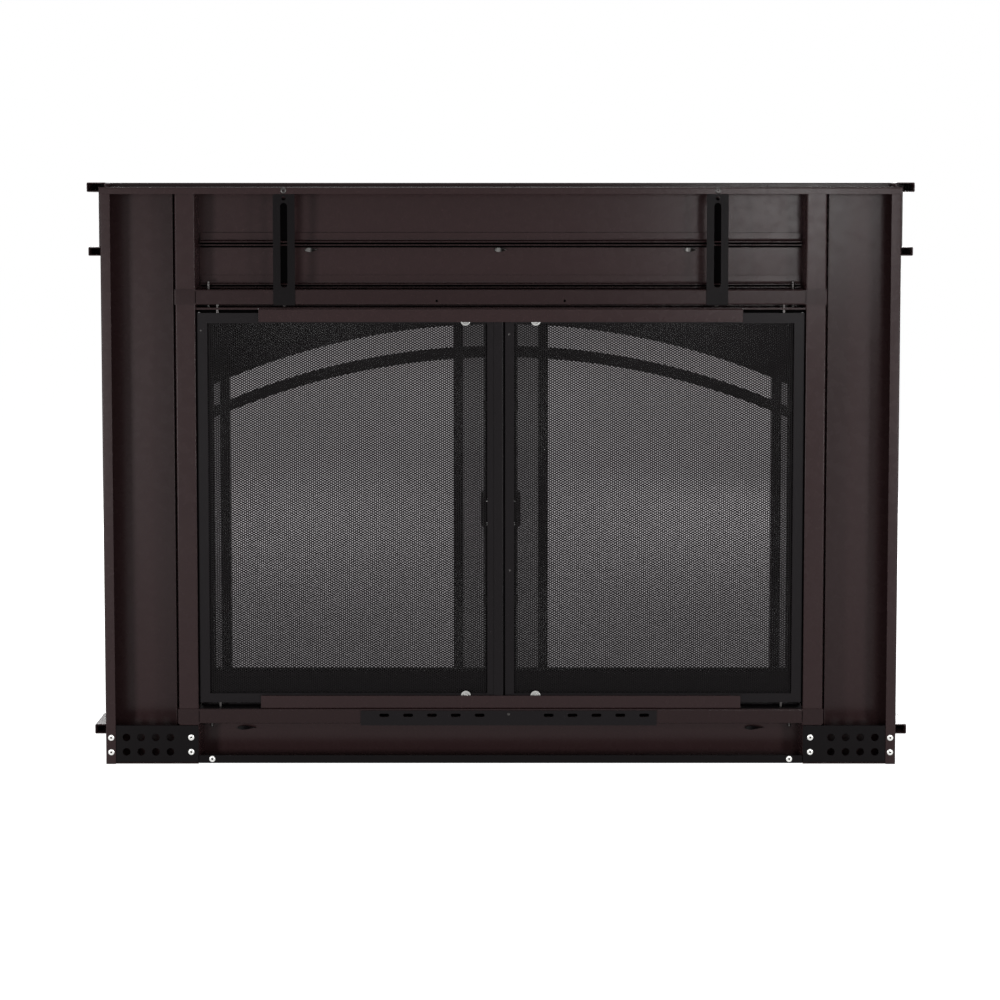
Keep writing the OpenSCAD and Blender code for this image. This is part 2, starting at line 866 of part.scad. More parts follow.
module hinge_stile(side) {
    color(black)
        on_side(side)
            difference() {
                union() {
                    slab(glass_free + glass_lip_w, glass_edge, glass_d, glass_front_d,
                        door_z0, door_z1);
                    slab(glass_free, glass_free + glass_lip_w, glass_lip_d, glass_front_d,
                        door_z0, door_z1);
                }
                bar_z(glass_pin_x, glass_axis_d, door_z1 - pin_sink, door_z1 + past, pin_r + pin_play);
                bar_z(glass_pin_x, glass_axis_d, door_z0 - past, door_z0 + pin_sink, pin_r + pin_play);
            }
}

post_x = glass_meet_gap + meet_stile_w + grip_over - grip_w / 2;
post_z = [grip_z - post_pitch / 2, grip_z + post_pitch / 2];

module meeting_stile(side) {
    color(black)
        on_side(side)
            difference() {
                union() {
                    slab(glass_meet_gap, glass_meet - glass_lip_w, glass_d, glass_front_d,
                        door_z0, door_z1);
                    slab(glass_meet - glass_lip_w, glass_meet, glass_lip_d, glass_front_d,
                        door_z0, door_z1);
                }
                for (z = post_z)
                    bar_y(handle_screw_x, z, glass_d - past, glass_front_d + past, screw_r + pin_play);
            }
}

// The handle screws pass through the solid part of the meeting stile
handle_screw_x = glass_meet - glass_lip_w - post_r;

module door_bottom_rail(side) {
    color(black)
        on_side(side) {
            slab(glass_meet - glass_lip_w, glass_free + glass_lip_w, glass_d, glass_lip_d,
                door_z0, door_bottom_z - glass_lip_w);
            slab(glass_meet, glass_free, glass_lip_d, glass_front_d, door_z0, door_bottom_z);
        }
}

// Everything under the arch, across both doors
module under_arch(centre_z) {
    translate([0, centre_z])
        circle(r = arch_r, $fn = 180);
}

module spandrel(side) {
    arch_low = head_z - arch_drop - arch_r + sqrt(arch_r * arch_r - glass_free * glass_free);
    color(black)
        on_side(side) {
            slab(glass_meet - glass_lip_w, glass_free + glass_lip_w, glass_d, glass_lip_d,
                door_top_z, door_z1);
            plate(glass_lip_d, glass_front_d)
                difference() {
                    translate([glass_meet, arch_low - past])
                        square([glass_free - glass_meet, door_z1 - arch_low + past]);
                    under_arch(arch_z);
                }
        }
}

module arched_bars(side) {
    color(black)
        on_side(side)
            plate(glass_lip_d, glass_lip_d + bar_t) {
                intersection() {
                    translate([glass_meet, door_bottom_z])
                        square([glass_free - glass_meet, opening_h]);
                    difference() {
                        under_arch(arch_bar_z);
                        under_arch(arch_bar_z - arch_bar_w);
                    }
                }
                for (x = [inner_bar_x, outer_bar_x])
                    intersection() {
                        translate([x - bar_w / 2, door_bottom_z])
                            square([bar_w, opening_h]);
                        under_arch(arch_z);
                    }
            }
}

module door_pane(side) {
    play = 0.5;
    color(smoked)
        on_side(side)
            slab(glass_meet - glass_lip_w + play, glass_free + glass_lip_w - play, pane_d,
                glass_lip_d, door_bottom_z - glass_lip_w + play, door_top_z - play);
}

// Spring clips on the back of the stiles, each with a foot on the pane
module pane_clips(side) {
    foot = glass_lip_w + clip_lead - flat_gap;
    hinge_x = glass_free - clip_lead;
    meet_x = glass_meet + clip_lead;
    ends = [
        [door_bottom_z, grip_z - grip_l / 2],
        [grip_z + grip_l / 2, door_top_z]
    ];
    color(silver)
        on_side(side)
            for (end = ends, i = [1 : clip_count]) {
                z = end[0] + i * (end[1] - end[0]) / (clip_count + 1) - clip_h / 2;
                slab(hinge_x, hinge_x + clip_w, glass_d - clip_t, glass_d, z, z + clip_h);
                slab(hinge_x, hinge_x + foot, glass_d, pane_d, z, z + clip_h);
                slab(meet_x - clip_w, meet_x, glass_d - clip_t, glass_d, z, z + clip_h);
                slab(meet_x - foot, meet_x, glass_d, pane_d, z, z + clip_h);
            }
}

module door_handle(side) {
    grip_x0 = glass_meet + grip_over - grip_w;
    grip_z0 = grip_z - grip_l / 2;
    color(black)
        on_side(side)
            difference() {
                union() {
                    plate(grip_d, grip_d + grip_t)
                        polygon([
                            [grip_x0, grip_z0 + grip_chamfer],
                            [grip_x0 + grip_chamfer, grip_z0],
                            [grip_x0 + grip_w - grip_chamfer, grip_z0],
                            [grip_x0 + grip_w, grip_z0 + grip_chamfer],
                            [grip_x0 + grip_w, grip_z0 + grip_l - grip_chamfer],
                            [grip_x0 + grip_w - grip_chamfer, grip_z0 + grip_l],
                            [grip_x0 + grip_chamfer, grip_z0 + grip_l],
                            [grip_x0, grip_z0 + grip_l - grip_chamfer]
                        ]);
                    for (z = post_z)
                        bar_y(handle_screw_x, z, glass_front_d, grip_d + past, post_r);
                }
                for (z = post_z)
                    bar_y(handle_screw_x, z, glass_front_d - past, grip_d, screw_r + pin_play);
            }
}

module handle_screws(side) {
    color(silver)
        on_side(side)
            for (z = post_z) {
                bar_y(handle_screw_x, z, glass_d, grip_d - past, screw_r);
                bar_y(handle_screw_x, z, glass_d - sheet_t, glass_d, screw_r * 2);
            }
}

module door_pins(side) {
    color(silver)
        on_side(side) {
            bar_z(glass_pin_x, glass_axis_d, door_z1 - pin_sink, top_rail_top + glass_pin_past,
                pin_r);
            bar_z(glass_pin_x, glass_axis_d, bottom_rail_z - glass_pin_past, door_z0 + pin_sink,
                pin_r);
        }
}

// ---- mesh doors ----------------------------------------------------------------------

module mesh_frame(side) {
    color(screen)
        on_side(side)
            difference() {
                slab(mesh_meet, mesh_edge, mesh_d, mesh_front_d, mesh_z0, mesh_z1);
                slab(mesh_inner, mesh_free, mesh_d - past, mesh_front_d + past, mesh_low, mesh_high);
                bar_z(mesh_pin_x, mesh_axis_d, mesh_z0 - past, mesh_z0 + mesh_pin_sink,
                    pin_r + pin_play);
                bar_z(mesh_pin_x, mesh_axis_d, mesh_z1 - mesh_pin_sink, mesh_z1 + past,
                    pin_r + pin_play);
            }
}

mesh_pin_sink = min(mesh_top_h, mesh_bottom_h) - mesh_pin_wall;

// A flat net of diamonds in a border: whole ones, halves at the sides, quarters in the corners
module net(w, h) {
    a = w / net_columns;
    b = h / net_rows;
    run = norm([a, b]);
    hx = a / 2 - net_strand / 2 * run / b;
    hz = b / 2 - net_strand / 2 * run / a;
    difference() {
        square([w, h]);
        for (i = [0 : net_columns - 1], j = [0 : net_rows - 1])
            translate([(i + 0.5) * a, (j + 0.5) * b])
                polygon([[-hx, 0], [0, -hz], [hx, 0], [0, hz]]);
        for (i = [1 : net_columns - 1], j = [1 : net_rows - 1])
            translate([i * a, j * b])
                polygon([[-hx, 0], [0, -hz], [hx, 0], [0, hz]]);
        for (j = [1 : net_rows - 1], x = [0, w])
            translate([x, j * b])
                mirror([x > 0 ? 1 : 0, 0])
                    polygon([
                        [net_border, -hz * (1 - net_border / hx)], [hx, 0],
                        [net_border, hz * (1 - net_border / hx)]
                    ]);
        for (i = [1 : net_columns - 1], z = [0, h])
            translate([i * a, z])
                mirror([0, z > 0 ? 1 : 0])
                    polygon([
                        [-hx * (1 - net_border / hz), net_border], [0, hz],
                        [hx * (1 - net_border / hz), net_border]
                    ]);
        for (x = [0, w], z = [0, h])
            translate([x, z])
                mirror([x > 0 ? 1 : 0, 0])
                    mirror([0, z > 0 ? 1 : 0])
                        polygon([
                            [net_border, net_border],
                            [hx * (1 - net_border / hz), net_border],
                            [net_border, hz * (1 - net_border / hx)]
                        ]);
    }
}

module mesh_net(side) {
    color(screen)
        on_side(side)
            plate(mesh_axis_d - mesh_t / 2, mesh_axis_d + mesh_t / 2)
                translate([mesh_inner, mesh_low])
                    net(mesh_free - mesh_inner, mesh_high - mesh_low);
}

module mesh_strikes(side) {
    color(silver)
        on_side(side)
            for (z = [mesh_high + mesh_top_h / 4, mesh_low - mesh_bottom_h / 4])
                difference() {
                    bar_y(strike_x, z, strike_d, mesh_d, strike_r);
                    bar_y(strike_x, z, strike_d - past, mesh_d - strike_t / 2, strike_r / 2);
                }
}

module mesh_pins(side) {
    color(silver)
        on_side(side) {
            bar_z(mesh_pin_x, mesh_axis_d, mesh_z1 - mesh_pin_sink,
                head_z + sheet_t + mesh_pin_past, pin_r);
            bar_z(mesh_pin_x, mesh_axis_d, sill_z - sheet_t - mesh_pin_past,
                mesh_z0 + mesh_pin_sink, pin_r);
        }
}

// An angle on the right mesh door that covers the slit between the two
module mesh_cover_strip() {
    color(screen) {
        slab(cover_x0, cover_x0 + cover_w, strike_d, mesh_d, mesh_z0, mesh_z1);
        slab(cover_x0, cover_x0 + sheet_t, mesh_d, mesh_front_d, mesh_z0, mesh_z1);
    }
}

top_plate();
side_panel(left);  // left_side_panel
side_panel(right);  // right_side_panel
inner_stile(left);  // left_inner_stile
inner_stile(right);  // right_inner_stile
frieze();
header_panel();
crown();
header_trim();
header_trim_tabs();
base_panel();
base_ledge();
base_ledge_tabs();
base_angle();
base_angle_rivets();
top_inner_rail();
bottom_inner_rail();
upper_stop_strip();
lower_stop_strip();
lintel_strap(left);  // left_lintel_strap
lintel_strap(right);  // right_lintel_strap
lintel_strap_screws();
corner_plate(left);  // left_corner_plate
corner_plate(right);  // right_corner_plate
corner_plate_rivets();
glass_door_magnet();
draught_slider();
slider_lever();
slider_knob();
hinge_stile(left);  // left_door_hinge_stile
meeting_stile(left);  // left_door_meeting_stile
door_bottom_rail(left);  // left_door_bottom_rail
spandrel(left);  // left_door_spandrel
arched_bars(left);  // left_door_arched_bars
door_pane(left);  // left_door_pane
pane_clips(left);  // left_door_pane_clips
door_handle(left);  // left_door_handle
handle_screws(left);  // left_door_handle_screws
door_pins(left);  // left_door_pins
hinge_stile(right);  // right_door_hinge_stile
meeting_stile(right);  // right_door_meeting_stile
door_bottom_rail(right);  // right_door_bottom_rail
spandrel(right);  // right_door_spandrel
arched_bars(right);  // right_door_arched_bars
door_pane(right);  // right_door_pane
pane_clips(right);  // right_door_pane_clips
door_handle(right);  // right_door_handle
handle_screws(right);  // right_door_handle_screws
door_pins(right);  // right_door_pins
mesh_frame(left);  // left_mesh_frame
mesh_net(left);  // left_mesh
mesh_strikes(left);  // left_mesh_strikes
mesh_pins(left);  // left_mesh_pins
mesh_frame(right);  // right_mesh_frame
mesh_net(right);  // right_mesh
mesh_strikes(right);  // right_mesh_strikes
mesh_pins(right);  // right_mesh_pins
mesh_cover_strip();
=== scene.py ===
"""The looks of a fireplace glass door unit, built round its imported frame.

Lengths in the classes are millimetres. A place is given as x, a depth counted forward
from the rear lips, and a height. The camera stands on the firebox side, as in the photograph.
"""

import logging
import math
from dataclasses import dataclass, field, replace
from enum import Enum

import bmesh
import bpy
import numpy as np
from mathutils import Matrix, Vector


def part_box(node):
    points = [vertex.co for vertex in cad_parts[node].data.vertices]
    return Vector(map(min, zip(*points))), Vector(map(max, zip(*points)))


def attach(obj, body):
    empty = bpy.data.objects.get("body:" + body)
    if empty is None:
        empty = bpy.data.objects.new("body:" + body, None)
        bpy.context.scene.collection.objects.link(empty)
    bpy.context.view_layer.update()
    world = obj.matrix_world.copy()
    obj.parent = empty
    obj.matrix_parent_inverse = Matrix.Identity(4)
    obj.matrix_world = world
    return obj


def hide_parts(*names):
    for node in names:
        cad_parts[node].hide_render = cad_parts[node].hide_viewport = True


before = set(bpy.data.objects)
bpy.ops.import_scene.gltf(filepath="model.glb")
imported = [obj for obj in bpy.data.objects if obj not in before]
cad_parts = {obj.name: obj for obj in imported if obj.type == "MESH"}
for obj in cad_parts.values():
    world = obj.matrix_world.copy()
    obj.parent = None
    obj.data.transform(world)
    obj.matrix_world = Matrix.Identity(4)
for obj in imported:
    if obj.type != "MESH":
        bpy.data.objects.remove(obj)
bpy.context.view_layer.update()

Piece = bpy.types.Object
Socket = bpy.types.NodeSocket
Pair = tuple[float, float]
Triple = tuple[float, float, float]

log = logging.getLogger("fireplace_door")
MM = 0.001
REAR_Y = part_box("top_plate")[1].y / MM
OVERRUN = 1.0  # how far a cut runs past the face that it starts or ends at


class Side(Enum):
    """The two sides of the unit, as seen from the room, with the sign of their x."""

    LEFT = -1
    RIGHT = 1

    @property
    def word(self) -> str:
        """The side's name as node names spell it."""
        return self.name.lower()


class Run(Enum):
    """The plane of a section and the direction in which it is carried."""

    UPRIGHT = "section in x and depth, carried up"
    LEVEL = "section in depth and height, carried along x"
    THROUGH = "section in x and height, carried through the depth"


class Cap(Enum):
    """How the ends of a swept ring are closed."""

    STRIP = "outer wall joined to inner wall"
    FACE = "one flat face"
    NONE = "left to merge at a pole"


class Axis(Enum):
    """The direction in which a turned piece points."""

    REARWARD = "towards the firebox"
    FORWARD = "towards the room"
    UP = "up"
    DOWN = "down"


# ---- finishes ------------------------------------------------------------------------


@dataclass(frozen=True)
class Nodes:
    """The node tree of a material or a world, with the kinds of node that are used here."""

    tree: bpy.types.NodeTree

    def link(self, value: Socket, to: Socket) -> None:
        """Links an output socket to an input socket."""
        self.tree.links.new(value, to)

    def add(self, kind: str, **values: object) -> bpy.types.Node:
        """Adds a node and sets its sockets by name.

        Args:
            kind: the node's type name without the ShaderNode prefix.
            values: socket values, with spaces in socket names written as underscores.

        Returns:
            The new node.
        """
        node = self.tree.nodes.new("ShaderNode" + kind)
        for key, value in values.items():
            node.inputs[key.replace("_", " ")].default_value = value
        return node

    def noise(self, where: Socket, scale: float, detail: float) -> Socket:
        """Adds noise.

        Args:
            where: the coordinates that it is read at.
            scale: how many features there are to a metre.
            detail: how many finer layers it has.

        Returns:
            The noise, from 0 to 1.
        """
        noise = self.add("TexNoise", Scale=scale, Detail=detail)
        self.link(where, noise.inputs["Vector"])
        return noise.outputs["Fac"]

    def span(
        self, value: Socket, made: Pair, given: Pair = (0.0, 1.0), blend: str = "LINEAR"
    ) -> Socket:
        """Maps one span of values to another and holds it beyond its ends.

        Args:
            value: the value.
            made: the span that it becomes.
            given: the span of the value.
            blend: how it goes from end to end.

        Returns:
            The mapped value.
        """
        span = self.add("MapRange")
        span.interpolation_type = blend
        names = ("From Min", "From Max", "To Min", "To Max")
        for name, number in zip(names, (*given, *made)):
            span.inputs[name].default_value = number
        self.link(value, span.inputs["Value"])
        return span.outputs["Result"]

    def mix(self, share: Socket, low: Triple, high: Triple) -> Socket:
        """Goes from one colour to another.

        Args:
            share: the share of the second colour.
            low: the first colour.
            high: the second colour.

        Returns:
            The colour.
        """
        tint = self.add("Mix")
        tint.data_type = "RGBA"
        tint.inputs["A"].default_value = (*low, 1)
        tint.inputs["B"].default_value = (*high, 1)
        self.link(share, tint.inputs["Factor"])
        return tint.outputs["Result"]

    def all_of(self, operation: str, values: list[Socket]) -> Socket:
        """Takes several values together, one after the other, by one operation.

        Args:
            operation: the operation, such as MULTIPLY or MAXIMUM.
            values: the values.

        Returns:
            The outcome.
        """
        total = values[0]
        for value in values[1:]:
            both = self.add("Math")
            both.operation = operation
            self.link(total, both.inputs[0])
            self.link(value, both.inputs[1])
            total = both.outputs[0]
        return total


class Coat:
    """What a piece is dressed in: a material that is built once and shared after that."""

    slot: str
    look: str

    def material(self) -> bpy.types.Material:
        """Builds the node material of this coat, or returns it if it is there already.

        Returns:
            The material.
        """
        title = f"{self.slot}_{self.look}"
        made = bpy.data.materials.get(title)
        if not made:
            made = bpy.data.materials.new(title)
            made.use_nodes = True
            self.paint(Nodes(made.node_tree), made.node_tree.nodes["Principled BSDF"])
        return made

    def paint(self, nodes: Nodes, shader: bpy.types.Node) -> None:
        """Sets the material's shader up; each kind of coat does it in its own way."""
        raise NotImplementedError


@dataclass(frozen=True)
class Finish(Coat):
    """A surface finish whose pattern lies on Object coordinates.

    The colour drifts by `mottle` over blotches that are 1 / `blotch` metres wide, and the
    roughness by `uneven` over patches that are 1 / `patch` metres wide. The grain raises the
    surface by noise whose features are 1 / `grain` metres wide: `raised` is its height in
    metres, and `relief` its strength.
    """

    slot: str
    colour: Triple
    look: str = "plain"
    roughness: float = 0.4
    specular: float = 0.2
    metallic: float = 0.0
    mottle: float = 0.08
    blotch: float = 3.0
    uneven: float = 0.06
    patch: float = 65.0
    grain: float = 1100.0
    relief: float = 0.25
    raised: float = 0.00012
    stretch: Triple = (1.0, 1.0, 1.0)

    def paint(self, nodes: Nodes, shader: bpy.types.Node) -> None:
        """Lays colour, roughness and grain on the shader.

        Args:
            nodes: the node tree of the material.
            shader: its shader.
        """
        shader.inputs["Metallic"].default_value = self.metallic
        shader.inputs["Specular IOR Level"].default_value = self.specular
        where = nodes.add("TexCoord").outputs["Object"]
        drift = nodes.noise(where, self.blotch, 3.0)
        tint = nodes.mix(drift, self._shade(-self.mottle), self._shade(self.mottle))
        nodes.link(tint, shader.inputs["Base Color"])
        rough = (max(0.0, self.roughness - self.uneven), self.roughness + self.uneven)
        patches = nodes.span(nodes.noise(where, self.patch, 2.0), rough)
        nodes.link(patches, shader.inputs["Roughness"])
        drawn = nodes.add("Mapping", Scale=self.stretch)
        nodes.link(where, drawn.inputs["Vector"])
        bump = nodes.add("Bump", Strength=self.relief, Distance=self.raised)
        grain = nodes.noise(drawn.outputs["Vector"], self.grain, 2.0)
        nodes.link(grain, bump.inputs["Height"])
        nodes.link(bump.outputs["Normal"], shader.inputs["Normal"])

    def _shade(self, amount: float) -> Triple:
        """The colour, lighter or darker by a share of itself."""
        return tuple(c * (1 + amount) for c in self.colour)


@dataclass(frozen=True)
class SmokedGlass(Coat):
    """Smoked glass, a little cloudy, with painted shade: darker at its foot, its head and outside
    the upright bars.

    Its tint is the full colour times a share that falls from 1 to `rim` under the upright bars,
    which stand at the distances `bars` from the middle, from 1 to `foot` below `fade`, and
    from 1 to `head` above `dusk`.
    """

    slot: str = "smoked_glass"
    look: str = "cloudy"
    colour: Triple = (0.371, 0.352, 0.363)
    index: float = 1.5
    specular: float = 0.2
    cloud: float = 0.012
    cloud_scale: float = 9.0
    bars: Pair = (0.065, 0.393)
    blend: float = 0.006
    rim: float = 0.36
    foot: float = 0.51
    fade: Pair = (0.13, 0.56)
    head: float = 0.8
    dusk: Pair = (0.54, 0.63)

    def paint(self, nodes: Nodes, shader: bpy.types.Node) -> None:
        """Makes the shader clear, tinted and cloudy.

        Args:
            nodes: the node tree of the material.
            shader: its shader.
        """
        shader.inputs["Transmission Weight"].default_value = 1.0
        shader.inputs["IOR"].default_value = self.index
        shader.inputs["Specular IOR Level"].default_value = self.specular
        where = nodes.add("TexCoord").outputs["Object"]
        tint = nodes.mix(self._share(nodes, where), (0, 0, 0), self.colour)
        nodes.link(tint, shader.inputs["Base Color"])
        haze = nodes.noise(where, self.cloud_scale, 4.0)
        cloudy = nodes.span(haze, (0.0, self.cloud), blend="SMOOTHSTEP")
        nodes.link(cloudy, shader.inputs["Roughness"])

    def _share(self, nodes: Nodes, where: Socket) -> Socket:
        """How much of the full colour the glass has at each point; where it falls below 1 it is
        painted shade.

        Args:
            nodes: the node tree of the material.
            where: the Object coordinates.

        Returns:
            The share.
        """
        split = nodes.add("SeparateXYZ")
        nodes.link(where, split.inputs["Vector"])
        across = nodes.add("Math")
        across.operation = "ABSOLUTE"
        nodes.link(split.outputs["X"], across.inputs[0])
        near, far = ((bar - self.blend, bar + self.blend) for bar in self.bars)
        steps = (
            (across.outputs[0], near, (self.rim, 1.0)),
            (across.outputs[0], far, (1.0, self.rim)),
            (split.outputs["Z"], self.fade, (self.foot, 1.0)),
            (split.outputs["Z"], self.dusk, (1.0, self.head)),
        )
        shares = [nodes.span(value, made, given, "SMOOTHSTEP") for value, given, made in steps]
        return nodes.all_of("MULTIPLY", shares)


BRONZE = Finish("bronze_powder_coat", (0.0252, 0.0128, 0.0133), roughness=0.27, specular=0.14)
# The same bronze paint, darker: painted shade for the rails, which take less light.
RAIL_SHADED = replace(BRONZE, colour=(0.0195, 0.0099, 0.0103), look="rail", specular=0.12)
BLACK = Finish("black_steel", (0.0045, 0.0036, 0.004), roughness=0.42, specular=0.06)
# Dead black for strips laid where shade falls: painted shade, and painted shadows behind the straps.
SHADE_BLACK = replace(BLACK, colour=(0.002, 0.0018, 0.0019), look="seal", roughness=0.8, specular=0.0)
DOOR_BLACK = Finish("door_black", (0.0058, 0.0046, 0.005), roughness=0.36, specular=0.06)
SCREEN = Finish("screen_black", (0.009, 0.0075, 0.0083), roughness=0.36, specular=0.08)
WIRE = Finish("mesh_wire", (0.007, 0.006, 0.0064), roughness=0.5, specular=0.06, relief=0.1)
BRIGHT = Finish(
    "bright_steel", (0.66, 0.66, 0.64), "rivet", roughness=0.28, specular=0.5, metallic=1.0,
    mottle=0.1, uneven=0.08, grain=600.0, relief=0.15,
)
ZINC = replace(
    BRIGHT, colour=(0.36, 0.36, 0.35), look="zinc", roughness=0.34, mottle=0.15, uneven=0.1
)
OILED = replace(
    BRIGHT, colour=(0.05, 0.047, 0.046), look="oiled", roughness=0.3,
    mottle=0.2, uneven=0.1, grain=500.0, relief=0.2, stretch=(1.0, 1.0, 6.0),
)
WORN = Finish(
    "black_steel", (0.11, 0.107, 0.104), "worn", roughness=0.36, specular=0.5, metallic=1.0,
    mottle=0.3, uneven=0.1, grain=500.0, relief=0.2,
)
GLASS = SmokedGlass()


# ---- shapes --------------------------------------------------------------------------


@dataclass(frozen=True)
class Reach:
    """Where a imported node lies: x, depth from the rear lips and height, in millimetres."""

    x0: float
    x1: float
    d0: float
    d1: float
    z0: float
    z1: float

    @classmethod
    def of(cls, node: str) -> "Reach":
        """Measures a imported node.

        Args:
            node: the node's name.

        Returns:
            Its reach.
        """
        low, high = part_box(node)
        return cls(
            low.x / MM, high.x / MM, REAR_Y - high.y / MM, REAR_Y - low.y / MM,
            low.z / MM, high.z / MM,
        )


def place(x: np.ndarray, d: np.ndarray, z: np.ndarray) -> np.ndarray:
    """Turns x, depth and height in millimetres into points of the frame: y is rear lips minus depth.

    Args:
        x: distances from the middle.
        d: depths forward from the rear lips.
        z: heights.

    Returns:
        An array of points in metres, with the coordinates in its last axis.
    """
    x, d, z = np.broadcast_arrays(x, d, z)
    return np.stack([x, REAR_Y - d, z], axis=-1) * MM


def soften(path: np.ndarray, radius: float, steps: int = 5, least: float = 0.5) -> np.ndarray:
    """Rounds the corners of a line: each gives way to an arc that touches both its legs.

    A point of the arc is its centre, less the leg's normal times radius times cosine, plus the
    leg's direction times radius times sine, for an angle from nought to the turn.

    Args:
        path: points of the line, two columns.
        radius: radius of the arcs.
        steps: spans in each arc.
        least: turns below this, in radians, stay as they are.

    Returns:
        The points of the rounded line.
    """
    legs = np.diff(path, axis=0)
    legs /= np.linalg.norm(legs, axis=1, keepdims=True)
    into, out = legs[:-1], legs[1:]
    turn = np.arctan2(
        into[:, 0] * out[:, 1] - into[:, 1] * out[:, 0], (into * out).sum(axis=1)
    )
    hand = np.sign(turn)[:, None]
    normal = np.stack([-into[:, 1], into[:, 0]], axis=1) * hand
    start = path[1:-1] - into * radius * np.tan(np.abs(turn) / 2)[:, None]
    angle = np.abs(turn)[:, None, None] * np.linspace(0, 1, steps + 1)[None, :, None]
    arcs = (start + normal * radius)[:, None] + radius * (
        into[:, None] * np.sin(angle) - normal[:, None] * np.cos(angle)
    )
    parts = [
        arc if abs(bend) > least else corner[None]
        for arc, bend, corner in zip(arcs, turn, path[1:-1])
    ]
    return np.concatenate([path[:1], *parts, path[-1:]])


def shifted(path: np.ndarray, by: float) -> np.ndarray:
    """Moves a line sideways: each point goes along the mean normal of its legs, mitred.

    Args:
        path: points of the line, two columns.
        by: the distance, to the left of the line where it is positive.

    Returns:
        The points of the moved line.
    """
    legs = np.diff(path, axis=0)
    legs /= np.linalg.norm(legs, axis=1, keepdims=True)
    normal = np.stack([-legs[:, 1], legs[:, 0]], axis=1)
    before = np.concatenate([normal[:1], normal])
    after = np.concatenate([normal, normal[-1:]])
    mean = before + after
    return path + by * 2 * mean / (mean * mean).sum(axis=1, keepdims=True)


def fold(path: list[Pair], thickness: float, hand: int = 0, bend: float = 1.6) -> np.ndarray:
    """The closed outline of a folded sheet from the sharp line of its outer face.

    The middle line is the outer line moved inwards by half the thickness, with its corners
    rounded; the outline is that line moved by half the thickness to both sides.

    Args:
        path: corners of the outer face.
        thickness: thickness of the sheet.
        hand: 1 where the sheet lies left of the path, -1 right of it, 0 inside its bends.
        bend: radius of the middle line in the bends.

    Returns:
        The outline, out along the outer face and back along the inner one.
    """
    line = np.array(path, float)
    legs = np.diff(line, axis=0)
    cross = legs[:-1, 0] * legs[1:, 1] - legs[:-1, 1] * legs[1:, 0]
    hand = hand or int(np.sign(cross.sum()))
    middle = soften(shifted(line, hand * thickness / 2), bend)
    outer = shifted(middle, -hand * thickness / 2)
    inner = shifted(middle, hand * thickness / 2)
    return np.concatenate([outer, inner[::-1]])


def linked(name: str, mesh: bpy.types.Mesh) -> Piece:
    """Puts a mesh into the scene as an object.

    Args:
        name: the object's name.
        mesh: the mesh.

    Returns:
        The new object, at the origin.
    """
    made = bpy.data.objects.new(name, mesh)
    bpy.context.scene.collection.objects.link(made)
    return made


def discard(piece: Piece) -> None:
    """Removes a piece and its mesh.

    Args:
        piece: the piece, which is used up.
    """
    spent = piece.data
    bpy.data.objects.remove(piece)
    bpy.data.meshes.remove(spent)


def settled(name: str, shell: bmesh.types.BMesh) -> Piece:
    """Turns points and faces that were edited into a piece.

    Args:
        name: the piece's name.
        shell: the points and faces, which are used up.

    Returns:
        The new piece, at the origin.
    """
    mesh = bpy.data.meshes.new(name)
    shell.to_mesh(mesh)
    shell.free()
    return linked(name, mesh)


def mesh_object(name: str, points: np.ndarray, faces: list[list[int]]) -> Piece:
    """Makes a piece of points and faces, with doubles merged and the faces turned outwards.

    Args:
        name: the piece's name.
        points: points in metres.
        faces: lists of point numbers.

    Returns:
        The new piece, at the origin.
    """
    draft = bpy.data.meshes.new(name + "_draft")
    draft.from_pydata(points.reshape(-1, 3), [], faces)
    shell = bmesh.new()
    shell.from_mesh(draft)
    bpy.data.meshes.remove(draft)
    bmesh.ops.remove_doubles(shell, verts=shell.verts, dist=1e-7)
    bmesh.ops.dissolve_degenerate(shell, edges=shell.edges, dist=1e-7)
    bmesh.ops.recalc_face_normals(shell, faces=shell.faces)
    return settled(name, shell)


def skin(name: str, rings: np.ndarray, cap: Cap) -> Piece:
    """Joins rings of points into a closed skin: each quad spans two rings and two points.

    Args:
        name: the piece's name.
        rings: array of rings by points by coordinates, in metres.
        cap: how the two ends are closed.

    Returns:
        The new object.
    """
    count, size = rings.shape[:2]
    ring = np.arange(count - 1)[:, None] * size
    here = np.arange(size)[None]
    there = (here + 1) % size
    faces = np.stack(
        [ring + here, ring + there, ring + size + there, ring + size + here], axis=-1
    ).reshape(-1, 4).tolist()
    last = (count - 1) * size
    if cap is Cap.STRIP:
        one = np.arange(size // 2 - 1)
        strip = np.stack([one, size - 1 - one, size - 2 - one, one + 1], axis=-1)
        faces += strip.tolist() + (strip[:, ::-1] + last).tolist()
    elif cap is Cap.FACE:
        faces += [list(range(size))[::-1], list(range(last, last + size))]
    return mesh_object(name, rings, faces)


def carried(
    name: str, outline: np.ndarray, run: Run, start: np.ndarray, stop: np.ndarray, cap: Cap
) -> Piece:
    """Carries an outline in a straight line between two distances.

    Args:
        name: the piece's name.
        outline: closed outline, two columns.
        run: the plane of the outline and the direction it goes.
        start: where it starts, one number or one for each point.
        stop: where it ends, one number or one for each point.
        cap: how its ends are closed.

    Returns:
        The new object.
    """
    a, b = outline[:, 0], outline[:, 1]
    ends = [np.broadcast_to(np.asarray(e, float), a.shape) for e in (start, stop)]
    if run is Run.UPRIGHT:
        rings = np.stack([place(a, b, end) for end in ends])
    elif run is Run.LEVEL:
        rings = np.stack([place(end, a, b) for end in ends])
    else:
        rings = np.stack([place(a, end, b) for end in ends])
    return skin(name, rings, cap)


